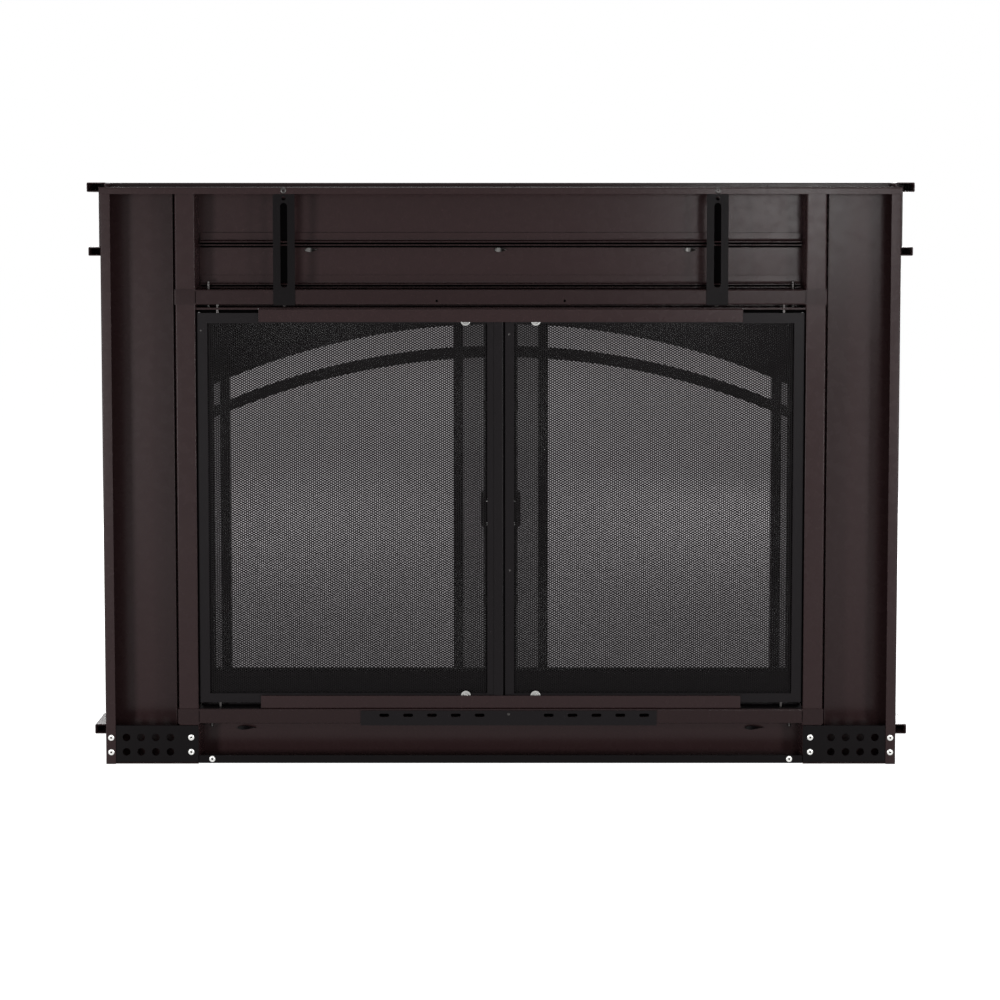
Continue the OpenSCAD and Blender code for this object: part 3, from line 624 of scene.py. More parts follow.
def turned(name: str, profile: list[Pair], centre: Triple, axis: Axis, around: int = 36) -> Piece:
    """Turns a profile round an axis: radius times cosine and sine of the angle, at each height.

    Args:
        name: the piece's name.
        profile: radii and heights along the axis, from pole to pole.
        centre: x, depth and height of the profile's zero.
        axis: the direction in which its heights count.
        around: points in each ring.

    Returns:
        The new object.
    """
    line = soften(np.array(profile, float), 0.12, 2)
    angle = np.linspace(0, 2 * math.pi, around, endpoint=False)
    across = line[:, 0, None] * np.cos(angle)
    along = line[:, 0, None] * np.sin(angle)
    high = np.broadcast_to(line[:, 1, None], across.shape)
    x, d, z = centre
    if axis is Axis.REARWARD:
        rings = place(x + across, d - high, z + along)
    elif axis is Axis.FORWARD:
        rings = place(x + across, d + high, z + along)
    elif axis is Axis.UP:
        rings = place(x + across, d + along, z + high)
    else:
        rings = place(x + across, d + along, z - high)
    return skin(name, rings, Cap.NONE)


def rectangle(a: Pair, b: Pair) -> np.ndarray:
    """The outline of a rectangle, from its spans in the section's two directions."""
    return np.array([(a[0], b[0]), (a[1], b[0]), (a[1], b[1]), (a[0], b[1])])


def obround(x: float, z: float, length: float, width: float, steps: int = 10) -> np.ndarray:
    """The outline of a slot with round ends: two half circles, moved apart.

    Args:
        x: its middle.
        z: the height of its middle.
        length: its length along x.
        width: its height.
        steps: spans in each half circle.

    Returns:
        The outline, in x and height.
    """
    angle = np.linspace(-math.pi / 2, math.pi / 2, steps + 1)
    half = np.stack([np.cos(angle), np.sin(angle)], axis=1) * width / 2
    right = half + [(length - width) / 2, 0]
    return np.concatenate([right, -right]) + [x, z]


def round_hole(x: float, z: float, radius: float, steps: int = 10) -> np.ndarray:
    """The outline of a round hole: a slot with round ends that is barely longer than wide."""
    return obround(x, z, radius * 2, radius * 2 - 0.01, steps)


def drilled(piece: Piece, outlines: list[np.ndarray], d0: float, d1: float) -> None:
    """Cuts holes through a piece from front to back.

    Args:
        piece: the piece, whose mesh is replaced by the cut one.
        outlines: closed outlines of the holes, in x and height.
        d0: depth at which the cuts start.
        d1: depth at which they end.
    """
    for outline in outlines:
        tool = carried(piece.name + "_tool", outline, Run.THROUGH, d0, d1, Cap.FACE)
        cut = piece.modifiers.new("cut", "BOOLEAN")
        cut.operation = "DIFFERENCE"
        cut.solver = "EXACT"
        cut.object = tool
        graph = bpy.context.evaluated_depsgraph_get()
        done = bpy.data.meshes.new_from_object(piece.evaluated_get(graph))
        piece.modifiers.clear()
        old, piece.data = piece.data, done
        bpy.data.meshes.remove(old)
        discard(tool)
    piece.data.name = piece.name


def eased(piece: Piece, width: float, segments: int = 2) -> Piece:
    """Eases the sharp edges of a piece and shades it by the size of its faces.

    Args:
        piece: the piece.
        width: width of the eased edge, in millimetres.
        segments: spans across it.

    Returns:
        The same piece.
    """
    shades = np.ones(len(piece.data.polygons), bool)
    piece.data.polygons.foreach_set("use_smooth", shades)
    ease = piece.modifiers.new("eased_edges", "BEVEL")
    ease.width = width * MM
    ease.segments = segments
    ease.limit_method = "ANGLE"
    ease.angle_limit = math.radians(35)
    ease.miter_outer = "MITER_ARC"
    weigh = piece.modifiers.new("weighted_shade", "WEIGHTED_NORMAL")
    weigh.weight = 60
    weigh.keep_sharp = True
    return piece


def copied(node: str, name: str) -> Piece:
    """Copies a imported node's mesh, merges it and joins its flat triangles.

    Args:
        node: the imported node.
        name: the new piece's name.

    Returns:
        The copy, at the origin.
    """
    shell = bmesh.new()
    shell.from_mesh(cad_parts[node].data)
    bmesh.ops.remove_doubles(shell, verts=shell.verts, dist=2e-6)
    bmesh.ops.dissolve_limit(
        shell, angle_limit=math.radians(0.2), verts=shell.verts, edges=shell.edges
    )
    return settled(name, shell)


def joined(name: str, pieces: list[Piece]) -> Piece:
    """Puts the meshes of several pieces into one object.

    Args:
        name: the new piece's name.
        pieces: the pieces, which are used up.

    Returns:
        The new piece.
    """
    shell = bmesh.new()
    for piece in pieces:
        shell.from_mesh(piece.data)
        discard(piece)
    return settled(name, shell)


@dataclass
class Assembly:
    """A group of pieces that ride on one body of the frame.

    Its folded sheets are `sheet_t` thick, and what is laid on a sheet stays `gap` off it. The
    edges of sheets are eased by `ease`, and those of small turned parts by `fine_ease`.
    """

    body: str = "surround"
    sheet_t: float = 1.5
    gap: float = 0.05
    ease: float = 0.3
    fine_ease: float = 0.1
    made: list[Piece] = field(default_factory=list)

    def keep(self, piece: Piece, finish: Coat, *nodes: str) -> Piece:
        """Dresses a new piece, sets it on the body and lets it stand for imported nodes.

        Args:
            piece: the new piece.
            finish: its finish.
            nodes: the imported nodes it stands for.

        Returns:
            The same piece.
        """
        piece.data.materials.clear()
        piece.data.materials.append(finish.material())
        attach(piece, self.body)
        if nodes:
            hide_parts(*nodes)
        self.made.append(piece)
        return piece

    def dress(self, node: str, finish: Coat) -> None:
        """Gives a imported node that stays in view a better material."""
        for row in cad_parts[node].material_slots:
            row.material = finish.material()

    def report(self) -> None:
        """Logs each new piece with its count of points."""
        for piece in self.made:
            log.info("%s: %s, %d points", self.body, piece.name, len(piece.data.vertices))

    def sheet(self, node: str, path: list[Pair], run: Run, finish: Finish = BRONZE) -> Piece:
        """Makes a folded sheet that stands for one node and runs over its whole length.

        Args:
            node: the node it stands for.
            path: corners of its outer face.
            run: the plane of the path and the direction it goes.
            finish: its finish.

        Returns:
            The new piece.
        """
        reach = Reach.of(node)
        ends = (reach.z0, reach.z1) if run is Run.UPRIGHT else (reach.x0, reach.x1)
        made = carried(node + "_sheet", fold(path, self.sheet_t), run, *ends, Cap.STRIP)
        return self.keep(eased(made, self.ease), finish, node)

    def unite(self, name: str, parts: list[Piece], ease: float, finish: Coat, node: str) -> Piece:
        """Joins parts into one piece with eased edges, and lets it stand for a node."""
        return self.keep(eased(joined(name, parts), ease), finish, node)

    def copy(self, node: str, finish: Finish, ease: float, segments: int = 2) -> Piece:
        """Makes a piece of a node's own shape with eased edges, and lets it stand for it."""
        return self.keep(eased(copied(node, node + "_eased"), ease, segments), finish, node)


# ---- surround ------------------------------------------------------------------------


@dataclass
class Rivet:
    """A blind rivet: a low domed head with an open middle, on a round shank."""

    head_r: float = 4.5
    head_h: float = 1.3
    shank_r: float = 2.0
    bore_r: float = 1.3
    bore_deep: float = 1.2

    def make(self, x: float, z: float, d: float, length: float) -> Piece:
        """Makes one rivet whose head faces the firebox.

        Args:
            x: its distance from the middle.
            z: its height.
            d: depth of the face that its head lies on.
            length: length of the shank under the head.

        Returns:
            The new piece.
        """
        h, r, bore, deep = self.head_h, self.head_r, self.bore_r, self.bore_deep
        profile = [
            (0, -length), (self.shank_r, -length), (self.shank_r, 0), (r, 0),
            (r * 0.985, h * 0.3), (r * 0.9, h * 0.62), (r * 0.76, h * 0.88), (r * 0.6, h),
            (bore + 0.35, h), (bore, h - 0.4), (bore, -deep), (0, -deep),
        ]
        return turned("rivet", profile, (x, d, z), Axis.REARWARD, 32)


@dataclass
class Casing(Assembly):
    """The folded casing: top plate, side panels, and the stiles beside the opening."""

    side_lip: float = 14.5
    lip_top: float = 824.0
    lip_deep: float = 2.4
    seam_start: float = 2.0
    seam_x: float = 472.5
    seam_h: float = 24.0
    seam_short: float = 1.0
    seam_bend: float = 1.2
    foot_inset: float = 0.5
    foot_lift: float = 0.1
    # The black strip of painted shade on the jamb wall of each stile.
    jamb_t: float = 0.9
    jamb_d: Pair = (5.0, 22.0)
    jamb_z: Pair = (84.0, 658.0)

    def build(self) -> None:
        """Builds the top plate, and a side panel and a stile on each side."""
        self.top()
        for side in Side:
            self.side_panel(side)
            self.inner_stile(side)

    def top(self) -> None:
        """The top plate, folded down at the rear."""
        r = Reach.of("top_plate")
        self.sheet("top_plate", [(r.d1, r.z1), (r.d0, r.z1), (r.d0, r.z0)], Run.LEVEL)

    def side_panel(self, side: Side) -> None:
        """A side panel: front skin, side wall and rear lip, which stops under the top plate.

        The points of its outline that are nearer to the rear than `lip_deep` are the lip's. Its
        seam lip lies on the inside of the front skin and folds rearward, and a flat plate closes
        its foot.

        Args:
            side: the side it is on.
        """
        node = side.word + "_side_panel"
        r, s, t = Reach.of(node), side.value, self.sheet_t
        near, far = (r.x0, r.x1) if s > 0 else (r.x1, r.x0)
        wrap = fold([(near, r.d1), (far, r.d1), (far, r.d0), (far - s * self.side_lip, r.d0)], t)
        is_lip = wrap[:, 1] < self.lip_deep
        top = np.where(is_lip, self.lip_top, r.z1)
        inside = r.d1 - t - self.gap
        seam_x = s * self.seam_x
        seam = fold(
            [(near + s * self.seam_start, inside), (seam_x, inside), (seam_x, inside - self.seam_h)],
            t, bend=self.seam_bend,
        )
        seam_z = (r.z0 + self.seam_short, r.z1 - self.seam_short)
        foot = rectangle((near + s * self.foot_inset, far - s * t), (t, inside))
        foot_z = (r.z0 + self.foot_lift, r.z0 + self.foot_lift + t)
        parts = [
            carried("wrap", wrap, Run.UPRIGHT, r.z0, top, Cap.STRIP),
            carried("seam", seam, Run.UPRIGHT, *seam_z, Cap.STRIP),
            carried("foot", foot, Run.UPRIGHT, *foot_z, Cap.FACE),
        ]
        self.unite(node + "_sheet", parts, self.ease, BRONZE, node)

    def inner_stile(self, side: Side) -> None:
        """The channel beside the opening, open towards the room, and a black strip of painted shade
        on its jamb.

        Args:
            side: the side it is on.
        """
        node = side.word + "_inner_stile"
        r = Reach.of(node)
        path = [(r.x0, r.d1), (r.x0, r.d0), (r.x1, r.d0), (r.x1, r.d1)]
        self.sheet(node, path, Run.UPRIGHT)
        # Painted shade: a dead black strip on the jamb wall, which lies in shade.
        wall = side.value * (Reach.of("header_panel").x1 - self.gap)
        strip = rectangle((wall, wall - side.value * self.jamb_t), self.jamb_d)
        made = carried(node + "_jamb_seal", strip, Run.UPRIGHT, *self.jamb_z, Cap.FACE)
        self.keep(made, SHADE_BLACK)


@dataclass
class Header(Assembly):
    """The frieze and the header, their stiffening lips, and black strips of painted shade and
    painted strap shadow behind them.
    """

    frieze_t: float = 2.0
    lip_h: float = 14.0
    lip_bend: float = 5.0
    lip_end: float = 1.8
    frieze_lip_z: float = 6.0
    frieze_lip_d: float = 11.0
    header_lip_z: float = 693.0
    header_lip_d: float = 9.0
    hem_drop: float = 4.2
    # Black strips of painted shade in the frieze seam and at the header's foot.
    shade_strip_t: float = 1.2
    shade_strip_lap: float = 1.0
    seam_shade_strip_drop: float = 1.5
    foot_shade_strip_drop: float = 6.0
    # A black strip of painted shadow behind each strap, where its shadow and its slot fall.
    strap_shadow_x: Pair = (307.4, 321.4)
    strap_shadow_t: float = 3.4
    strap_shadow_z: Pair = (692.0, 818.0)

    @property
    def skin_d(self) -> float:
        """Depth just behind the header's front skin."""
        return Reach.of("header_panel").d1 - self.sheet_t - self.gap

    @property
    def lip_run(self) -> Pair:
        """The two ends of what runs along the header from side to side."""
        half = Reach.of("header_panel").x1 - self.lip_end
        return -half, half

    def build(self) -> None:
        """Builds the frieze, then the header."""
        self.frieze()
        self.header()

    def frieze(self) -> None:
        """The frieze, wrapped round the casing, with its seam lip and a black strip of painted shade
        behind that.
        """
        r = Reach.of("frieze")
        wrap = fold([(r.x0, r.d0), (r.x0, r.d1), (r.x1, r.d1), (r.x1, r.d0)], self.frieze_t)
        cover = carried("cover", wrap, Run.UPRIGHT, r.z0, r.z1, Cap.STRIP)
        lip_z = r.z0 + self.frieze_lip_z
        parts = [cover, self.lip(lip_z, self.frieze_lip_d)]
        self.unite("frieze_sheet", parts, self.ease, BRONZE, "frieze")
        spread = (r.z0 - self.seam_shade_strip_drop, lip_z + self.shade_strip_lap)
        self.seal("seam_seal", spread, self.lip_run, self.shade_strip_t)

    def header(self) -> None:
        """The header with its head flange, its foot lip and hem, and black strips of painted shade
        and painted strap shadow on it.
        """
        r, lip_z = Reach.of("header_panel"), self.header_lip_z
        face = fold([(r.d1, r.z1), (r.d1, r.z0), (r.d0, r.z0)], self.sheet_t)
        hem_z = lip_z - self.hem_drop
        hem = fold(
            [(self.skin_d - self.header_lip_d, hem_z), (self.skin_d, hem_z)], self.sheet_t, hand=1
        )
        parts = [
            carried("face", face, Run.LEVEL, r.x0, r.x1, Cap.STRIP),
            self.lip(lip_z, self.header_lip_d),
            carried("hem", hem, Run.LEVEL, *self.lip_run, Cap.STRIP),
        ]
        self.unite("header_panel_sheet", parts, self.ease, BRONZE, "header_panel")
        spread = (lip_z - self.foot_shade_strip_drop, lip_z + self.shade_strip_lap)
        self.seal("foot_seal", spread, self.lip_run, self.shade_strip_t)
        # Painted shadow behind each strap: a black strip on the skin.
        for side in Side:
            ends = sorted(side.value * x for x in self.strap_shadow_x)
            self.seal(side.word + "_strap_painted_shadow", self.strap_shadow_z, tuple(ends), self.strap_shadow_t)

    def seal(self, name: str, z: Pair, ends: Pair, thickness: float) -> None:
        """Lays a flat black strip of painted shade on the inside of the front skin.

        Args:
            name: its name.
            z: its lower and upper edge.
            ends: its two ends.
            thickness: its thickness.
        """
        outline = rectangle((self.skin_d - thickness, self.skin_d), z)
        self.keep(carried(name, outline, Run.LEVEL, *ends, Cap.FACE), SHADE_BLACK)

    def lip(self, z: float, out: float) -> Piece:
        """A stiffening lip that leaves the inside of the front skin in a wide bend.

        Args:
            z: height of its underside.
            out: how far it reaches towards the firebox.

        Returns:
            The new piece.
        """
        path = [(self.skin_d, z + self.lip_h), (self.skin_d, z), (self.skin_d - out, z)]
        outline = fold(path, self.sheet_t, bend=self.lip_bend)
        return carried("lip", outline, Run.LEVEL, *self.lip_run, Cap.STRIP)


@dataclass
class Opening(Assembly):
    """What borders the opening: base, rails, stop strips and the magnet of the glass doors."""

    base_ease: float = 0.08
    magnet_ease: float = 0.35
    rail_tab: float = 12.0
    rail_lap: float = 1.0
    rail_hole_x: float = 91.5
    rail_hole_r: float = 1.8

    def build(self) -> None:
        """Builds the base, both rails and both strips, and eases the magnet's edges."""
        self.base()
        self.rail("top_inner_rail")
        self.rail("bottom_inner_rail")
        self.stops()
        self.copy("glass_door_magnet", BLACK, self.magnet_ease)

    def base(self) -> None:
        """The base panel and the black angle under it."""
        self.copy("base_panel", BRONZE, self.base_ease)
        r = Reach.of("base_angle")
        self.sheet("base_angle", [(r.d0, r.z1), (r.d0, r.z0), (r.d1, r.z0)], Run.LEVEL, BLACK)

    def rail(self, node: str) -> None:
        """A channel over or under the opening, with bent ends that clasp the stiles.

        Args:
            node: the rail's node.
        """
        r, t = Reach.of(node), self.sheet_t
        half = Reach.of("header_panel").x1
        channel = fold([(r.d1, r.z0), (r.d0, r.z0), (r.d0, r.z1), (r.d1, r.z1)], t)
        parts = [carried("web", channel, Run.LEVEL, -half, half, Cap.STRIP)]
        for side in Side:
            s = side.value
            tab = r.d0 + t + self.rail_tab
            end = fold([(s * (half - self.rail_lap), r.d0), (s * r.x1, r.d0), (s * r.x1, tab)], t)
            parts.append(carried("end", end, Run.UPRIGHT, r.z0, r.z1, Cap.STRIP))
        if node == "top_inner_rail":
            radius, high = self.rail_hole_r, r.z0 + self.rail_hole_r * 3
            holes = [round_hole(side.value * self.rail_hole_x, high, radius) for side in Side]
        else:
            holes = DraughtSlider().slots()
        drilled(parts[0], holes, r.d0 - OVERRUN, r.d0 + t + OVERRUN)
        # The rails take the bronze darkened by painted shade.
        self.unite(node + "_sheet", parts, self.ease, RAIL_SHADED, node)

    def stops(self) -> None:
        """The angle strips that the mesh doors shut against."""
        r = Reach.of("upper_stop_strip")
        self.sheet("upper_stop_strip", [(r.d0, r.z0), (r.d0, r.z1), (r.d1, r.z1)], Run.LEVEL)
        r = Reach.of("lower_stop_strip")
        self.sheet("lower_stop_strip", [(r.d0, r.z1), (r.d0, r.z0), (r.d1, r.z0)], Run.LEVEL)


@dataclass
class PinSlitShades(Assembly):
    """What darkens the slits at the hinge pins: painted shade as a black plate on the sill and a
    black strip at the head, beside a lip.
    """

    # The black plate of painted shade on the sill.
    plate_t: float = 0.8
    plate_x: float = 348.5
    plate_gap: float = 0.3
    plate_d: Pair = (4.6, 24.7)
    plate_lip: float = 3.7
    cover_ease: float = 0.15
    head_lip: float = 1.3
    head_lip_t: float = 0.9
    head_lip_sink: float = 0.6
    # The black strip of painted shade at the head.
    head_shade_d: Pair = (14.3, 15.1)
    head_shade_drop: float = 5.4
    head_shade_sink: float = 0.4

    def build(self) -> None:
        """Builds the covers on both sides."""
        for side in Side:
            self.cover(side)

    def cover(self, side: Side) -> None:
        """The black plate of painted shade round the lower pins of one side, and the lip and black
        strip of painted shade over the upper ones.

        Args:
            side: the side they are on.
        """
        far_end = Reach.of("right_inner_stile").x0 - self.plate_gap
        ends = sorted((side.value * self.plate_x, side.value * far_end))
        sill = Reach.of("base_panel").z1 + self.gap
        near, far = self.plate_d
        bent = fold([(near, sill), (far, sill), (far, sill + self.plate_lip)], self.plate_t)
        plate = carried(side.word + "_sill_plate", bent, Run.LEVEL, *ends, Cap.STRIP)
        # Painted shade: a black plate where the slit over the sill lies in shade.
        self.keep(eased(plate, self.cover_ease), BLACK)
        head = Reach.of("header_panel")
        edge = rectangle(
            (head.d0, head.d0 + self.head_lip_t),
            (head.z0 - self.head_lip, head.z0 + self.head_lip_sink),
        )
        lip = carried(side.word + "_head_lip", edge, Run.LEVEL, *ends, Cap.FACE)
        self.keep(eased(lip, self.cover_ease), BRONZE)
        # Painted shade: a dead black strip in the slit at the head.
        edge = rectangle(self.head_shade_d, (head.z0 - self.head_shade_drop, head.z0 + self.head_shade_sink))
        self.keep(carried(side.word + "_brush", edge, Run.LEVEL, *ends, Cap.FACE), SHADE_BLACK)


@dataclass
class MouldingTabs(Assembly):
    """The tabs that hold the header trim and the base ledge."""

    tab_rise: float = 6.6
    tab_t: float = 0.6
    tab_out: float = 1.4
    tab_lean: float = -30.0
    tab_twist: float = 60.0
    trim_inset: float = 7.0
    trim_half: float = 9.2
    trim_lift: float = 1.6
    ledge_inset: float = 6.0
    ledge_half: float = 14.0
    ledge_lift: float = 4.0

    def build(self) -> None:
        """Builds the three worn tabs of the trim and the two black ones of the ledge."""
        r = Reach.of("header_trim_tabs")
        outer, high = r.x1 - self.trim_inset, r.z1 + self.trim_lift
        self.twisted("header_trim_tabs", [-outer, 0.0, outer], self.trim_half, high, WORN)
        r = Reach.of("base_ledge_tabs")
        outer, high = r.x1 - self.ledge_inset, r.z0 + self.ledge_lift
        self.twisted("base_ledge_tabs", [-outer, outer], self.ledge_half, high, BLACK)

    def twisted(
        self, node: str, spots: list[float], half: float, middle: float, finish: Finish
    ) -> None:
        """The tabs that hold a moulding, each twisted once it is through its slot.

        The half height of a tab falls from its middle to its ends as the root of one less the
        square of the way along. Its section leans by `tab_lean` degrees in the middle and turns
        by up to `tab_twist` degrees more to either side.

        Args:
            node: the node they stand for.
            spots: their distances from the middle.
            half: half their length.
            middle: height of their middles.
            finish: their finish.
        """
        way = np.linspace(-0.97, 0.97, 17)
        tall = self.tab_rise / 2 * np.sqrt(1 - way ** 2)
        turn = np.radians(self.tab_lean + self.tab_twist * way)[:, None]
        up = np.array([1, -1, -1, 1]) * tall[:, None]
        out = np.array([1, 1, -1, -1]) * self.tab_t / 2
        depth = Reach.of(node).d0 - self.tab_out + out * np.cos(turn) + up * np.sin(turn)
        high = middle + up * np.cos(turn) - out * np.sin(turn)
        made = [skin("tab", place(x + half * way[:, None], depth, high), Cap.FACE) for x in spots]
        self.unite(node + "_twisted", made, self.fine_ease, finish, node)


@dataclass
class Mouldings(Assembly):
    """The crown, the header trim and the base ledge: one folded channel each, mitred."""

    bend: float = 1.0
    lap: float = 10.0
    rear: float = 4.0
    flange: float = 14.0
    flange_rise: float = 3.0

    def build(self) -> None:
        """Builds the three mouldings."""
        body = Reach.of("right_side_panel")
        frieze = Reach.of("frieze")
        crown = Reach.of("crown")
        self.band("crown", frieze.x1, frieze.d1, crown.z0, crown.z1, body_top=frieze.z1)
        for node in ("header_trim", "base_ledge"):
            r = Reach.of(node)
            self.band(node, body.x1, body.d1, r.z0, r.z1)

    def band(
        self, node: str, half: float, face: float, z0: float, z1: float, body_top: float = 0.0
    ) -> None:
        """Makes one moulding round the front and both sides.

        Its section is a channel that is open towards the body, with round bends. Each point of
        the section stands out from the body along the corner's mitre.

        Args:
            node: the node it stands for.
            half: half of the width it goes round.
            face: depth of the face it goes round.
            z0: its underside.
            z1: its top.
            body_top: top of the casing that it laps over, or nought where it doesn't.
        """
        out = Reach.of(node).x1 - half
        head = [(-self.lap, body_top), (-self.lap, z1)] if body_top else [(0.0, z1)]
        path = [*head, (out, z1), (out, z0), (0.0, z0)]
        outline = fold(path, self.sheet_t, hand=-1, bend=self.bend)
        base = np.array([[half, self.rear], [half, face], [-half, face], [-half, self.rear]])
        way = np.array([[1, 0], [1, 1], [-1, 1], [-1, 0]])
        xd = base[:, None] + way[:, None] * outline[None, :, :1]
        rings = place(xd[..., 0], xd[..., 1], outline[None, :, 1])
        made = skin(node + "_moulding", rings, Cap.STRIP)
        if node == "header_trim":
            inner = Reach.of("header_panel").x1
            high = z1 + self.flange_rise
            tongue = fold([(face - self.flange, high), (face, high)], self.sheet_t, hand=-1)
            strip = carried("tongue", tongue, Run.LEVEL, -inner, inner, Cap.STRIP)
            made = joined(node + "_moulding", [made, strip])
        self.keep(eased(made, self.ease), BRONZE, node)


@dataclass
class LintelStraps(Assembly):
    """The two slotted straps behind the header, with a rivet and a foot screw each."""

    width: float = 10.0
    slot_z: float = 751.0
    slot_l: float = 121.0
    hole_r: float = 3.0
    hole_z: float = 817.75
    rivet_z: float = 829.0
    foot_d: float = 8.5
    shank: float = 4.5

    def build(self) -> None:
        """Builds both straps and their fasteners."""
        fasteners = []
        for side in Side:
            node = side.word + "_lintel_strap"
            r = Reach.of(node)
            x = (r.x0 + r.x1) / 2
            outline = fold([(r.d0, r.z1), (r.d0, r.z0), (r.d1, r.z0)], self.sheet_t)
            made = carried(node + "_sheet", outline, Run.LEVEL, r.x0, r.x1, Cap.STRIP)
            upright = obround(0, 0, self.slot_l, self.width)[:, ::-1] + [x, self.slot_z]
            holes = [upright, round_hole(x, self.hole_z, self.hole_r)]
            drilled(made, holes, r.d0 - OVERRUN, r.d0 + self.sheet_t + OVERRUN)
            self.keep(eased(made, self.ease), BLACK, node)
            fasteners.append(Rivet().make(x, self.rivet_z, 0.0, self.shank))
            fasteners.append(self.foot_screw(x, r.z0))
        node = "lintel_strap_screws"
        self.unite("lintel_strap_fasteners", fasteners, self.fine_ease, OILED, node)

    def foot_screw(self, x: float, z: float) -> Piece:
        """A short screw that goes up through the foot, with a domed head under it."""
        profile = [(0, -3), (2, -3), (2, 0), (3.37, 0), (3.2, 0.7), (2.2, 1.2), (0, 1.3)]
        return turned("foot_screw", profile, (x, self.foot_d, z), Axis.DOWN, 24)


@dataclass
class CornerPlates(Assembly):
    """The drilled plates in the lower corners, with eight rivets, and two in the base angle."""

    hole_r: float = 5.65
    pitch: float = 21.2
    first_x: float = 478.2
    columns: int = 4
    rows: Pair = (17.5, 38.7)
    plate_ease: float = 0.4
    rivets_x: Pair = (563.5, 448.0)
    rivets_d: Pair = (0.0, 1.5)
    shank: float = 4.5
    angle_rivet: Triple = (418.0, 6.75, 3.0)
    angle_shank: float = 1.5

    def build(self) -> None:
        """Builds both plates and all the rivets."""
        rivets = []
        for side in Side:
            self.plate(side)
            for z in self.rows:
                for x, d in zip(self.rivets_x, self.rivets_d):
                    rivets.append(Rivet().make(side.value * x, z, d, self.shank))
        self.unite("corner_rivets", rivets, self.fine_ease, BRIGHT, "corner_plate_rivets")
        x, z, d = self.angle_rivet
        pair = [Rivet().make(side.value * x, z, d, self.angle_shank) for side in Side]
        self.unite("angle_rivets", pair, self.fine_ease, BRIGHT, "base_angle_rivets")

    def plate(self, side: Side) -> None:
        """A plate with its rows of holes.

        Args:
            side: the side it is on.
        """
        node = side.word + "_corner_plate"
        r = Reach.of(node)
        outline = rectangle((r.x0, r.x1), (r.z0, r.z1))
        made = carried(node + "_drilled", outline, Run.THROUGH, r.d0, r.d1, Cap.FACE)
        holes = [
            round_hole(side.value * (self.first_x + i * self.pitch), z, self.hole_r, 12)
            for i in range(self.columns) for z in self.rows
        ]
        drilled(made, holes, r.d0 - OVERRUN, r.d1 + OVERRUN)
        self.keep(eased(made, self.plate_ease), BLACK, node)


@dataclass
class DraughtSlider(Assembly):
    """The slotted slider behind the lower rail, with its lever and knob."""

    body: str = "slider"
    rest_x: float = -11.5
    shift: float = -8.0
    first: float = 50.0
    pitch: float = 34.5
    count: int = 5
    slot_z: float = 71.3
    slot_l: float = 14.4
    slot_h: float = 5.0
    lever_ease: float = 0.5
    stake_lift: float = 1.6
    waist_deep: float = 1.2
    knob_edge: float = 0.9
    knob_dish: float = 0.3
    knob_ease: float = 0.2

    def slots(self) -> list[np.ndarray]:
        """The outlines of the ten vents, in x and height, where the slider rests open."""
        return [
            obround(self.rest_x + self.shift + side.value * (self.first + i * self.pitch),
                    self.slot_z, self.slot_l, self.slot_h)
            for side in Side for i in range(self.count)
        ]

    def build(self) -> None:
        """Builds the slider, the lever and the knob."""
        r = Reach.of("draught_slider")
        outline = rectangle((r.x0, r.x1), (r.z0, r.z1))
        made = carried("draught_slider_strip", outline, Run.THROUGH, r.d0, r.d1, Cap.FACE)
        drilled(made, self.slots(), r.d0 - OVERRUN, r.d1 + OVERRUN)
        self.keep(eased(made, self.ease), SCREEN, "draught_slider")
        self.copy("slider_lever", BLACK, self.lever_ease)
        end = Reach.of("slider_lever")
        stake = [(0, -0.4), (2.2, -0.4), (2.2, 0), (1.9, 0.5), (1.1, 0.75), (0.6, 0.35), (0, 0.3)]
        centre = ((end.x0 + end.x1) / 2, r.d0, (end.z0 + end.z1) / 2 + self.stake_lift)
        self.keep(turned("lever_stake", stake, centre, Axis.REARWARD, 20), OILED)
        self.knob()

    def knob(self) -> None:
        """A turned knob with a waist: its radius dips by a rounded groove half way along."""
        r = Reach.of("slider_knob")
        radius, deep, edge = (r.x1 - r.x0) / 2, r.d1 - r.d0, self.knob_edge
        t = np.linspace(0, 1, 15)
        waist = radius - self.waist_deep * np.sin(math.pi * t) ** 2
        rim = list(zip(waist, edge + t * (deep - 2 * edge)))
        dish = (0, deep - self.knob_dish)
        profile = [(0, 0), (radius - edge, 0), *rim, (radius - edge, deep), dish]
        centre = ((r.x0 + r.x1) / 2, r.d0, (r.z0 + r.z1) / 2)
        made = turned("slider_knob_turned", profile, centre, Axis.FORWARD, 48)
        self.keep(eased(made, self.knob_ease), BLACK, "slider_knob")


# ---- doors ---------------------------------------------------------------------------


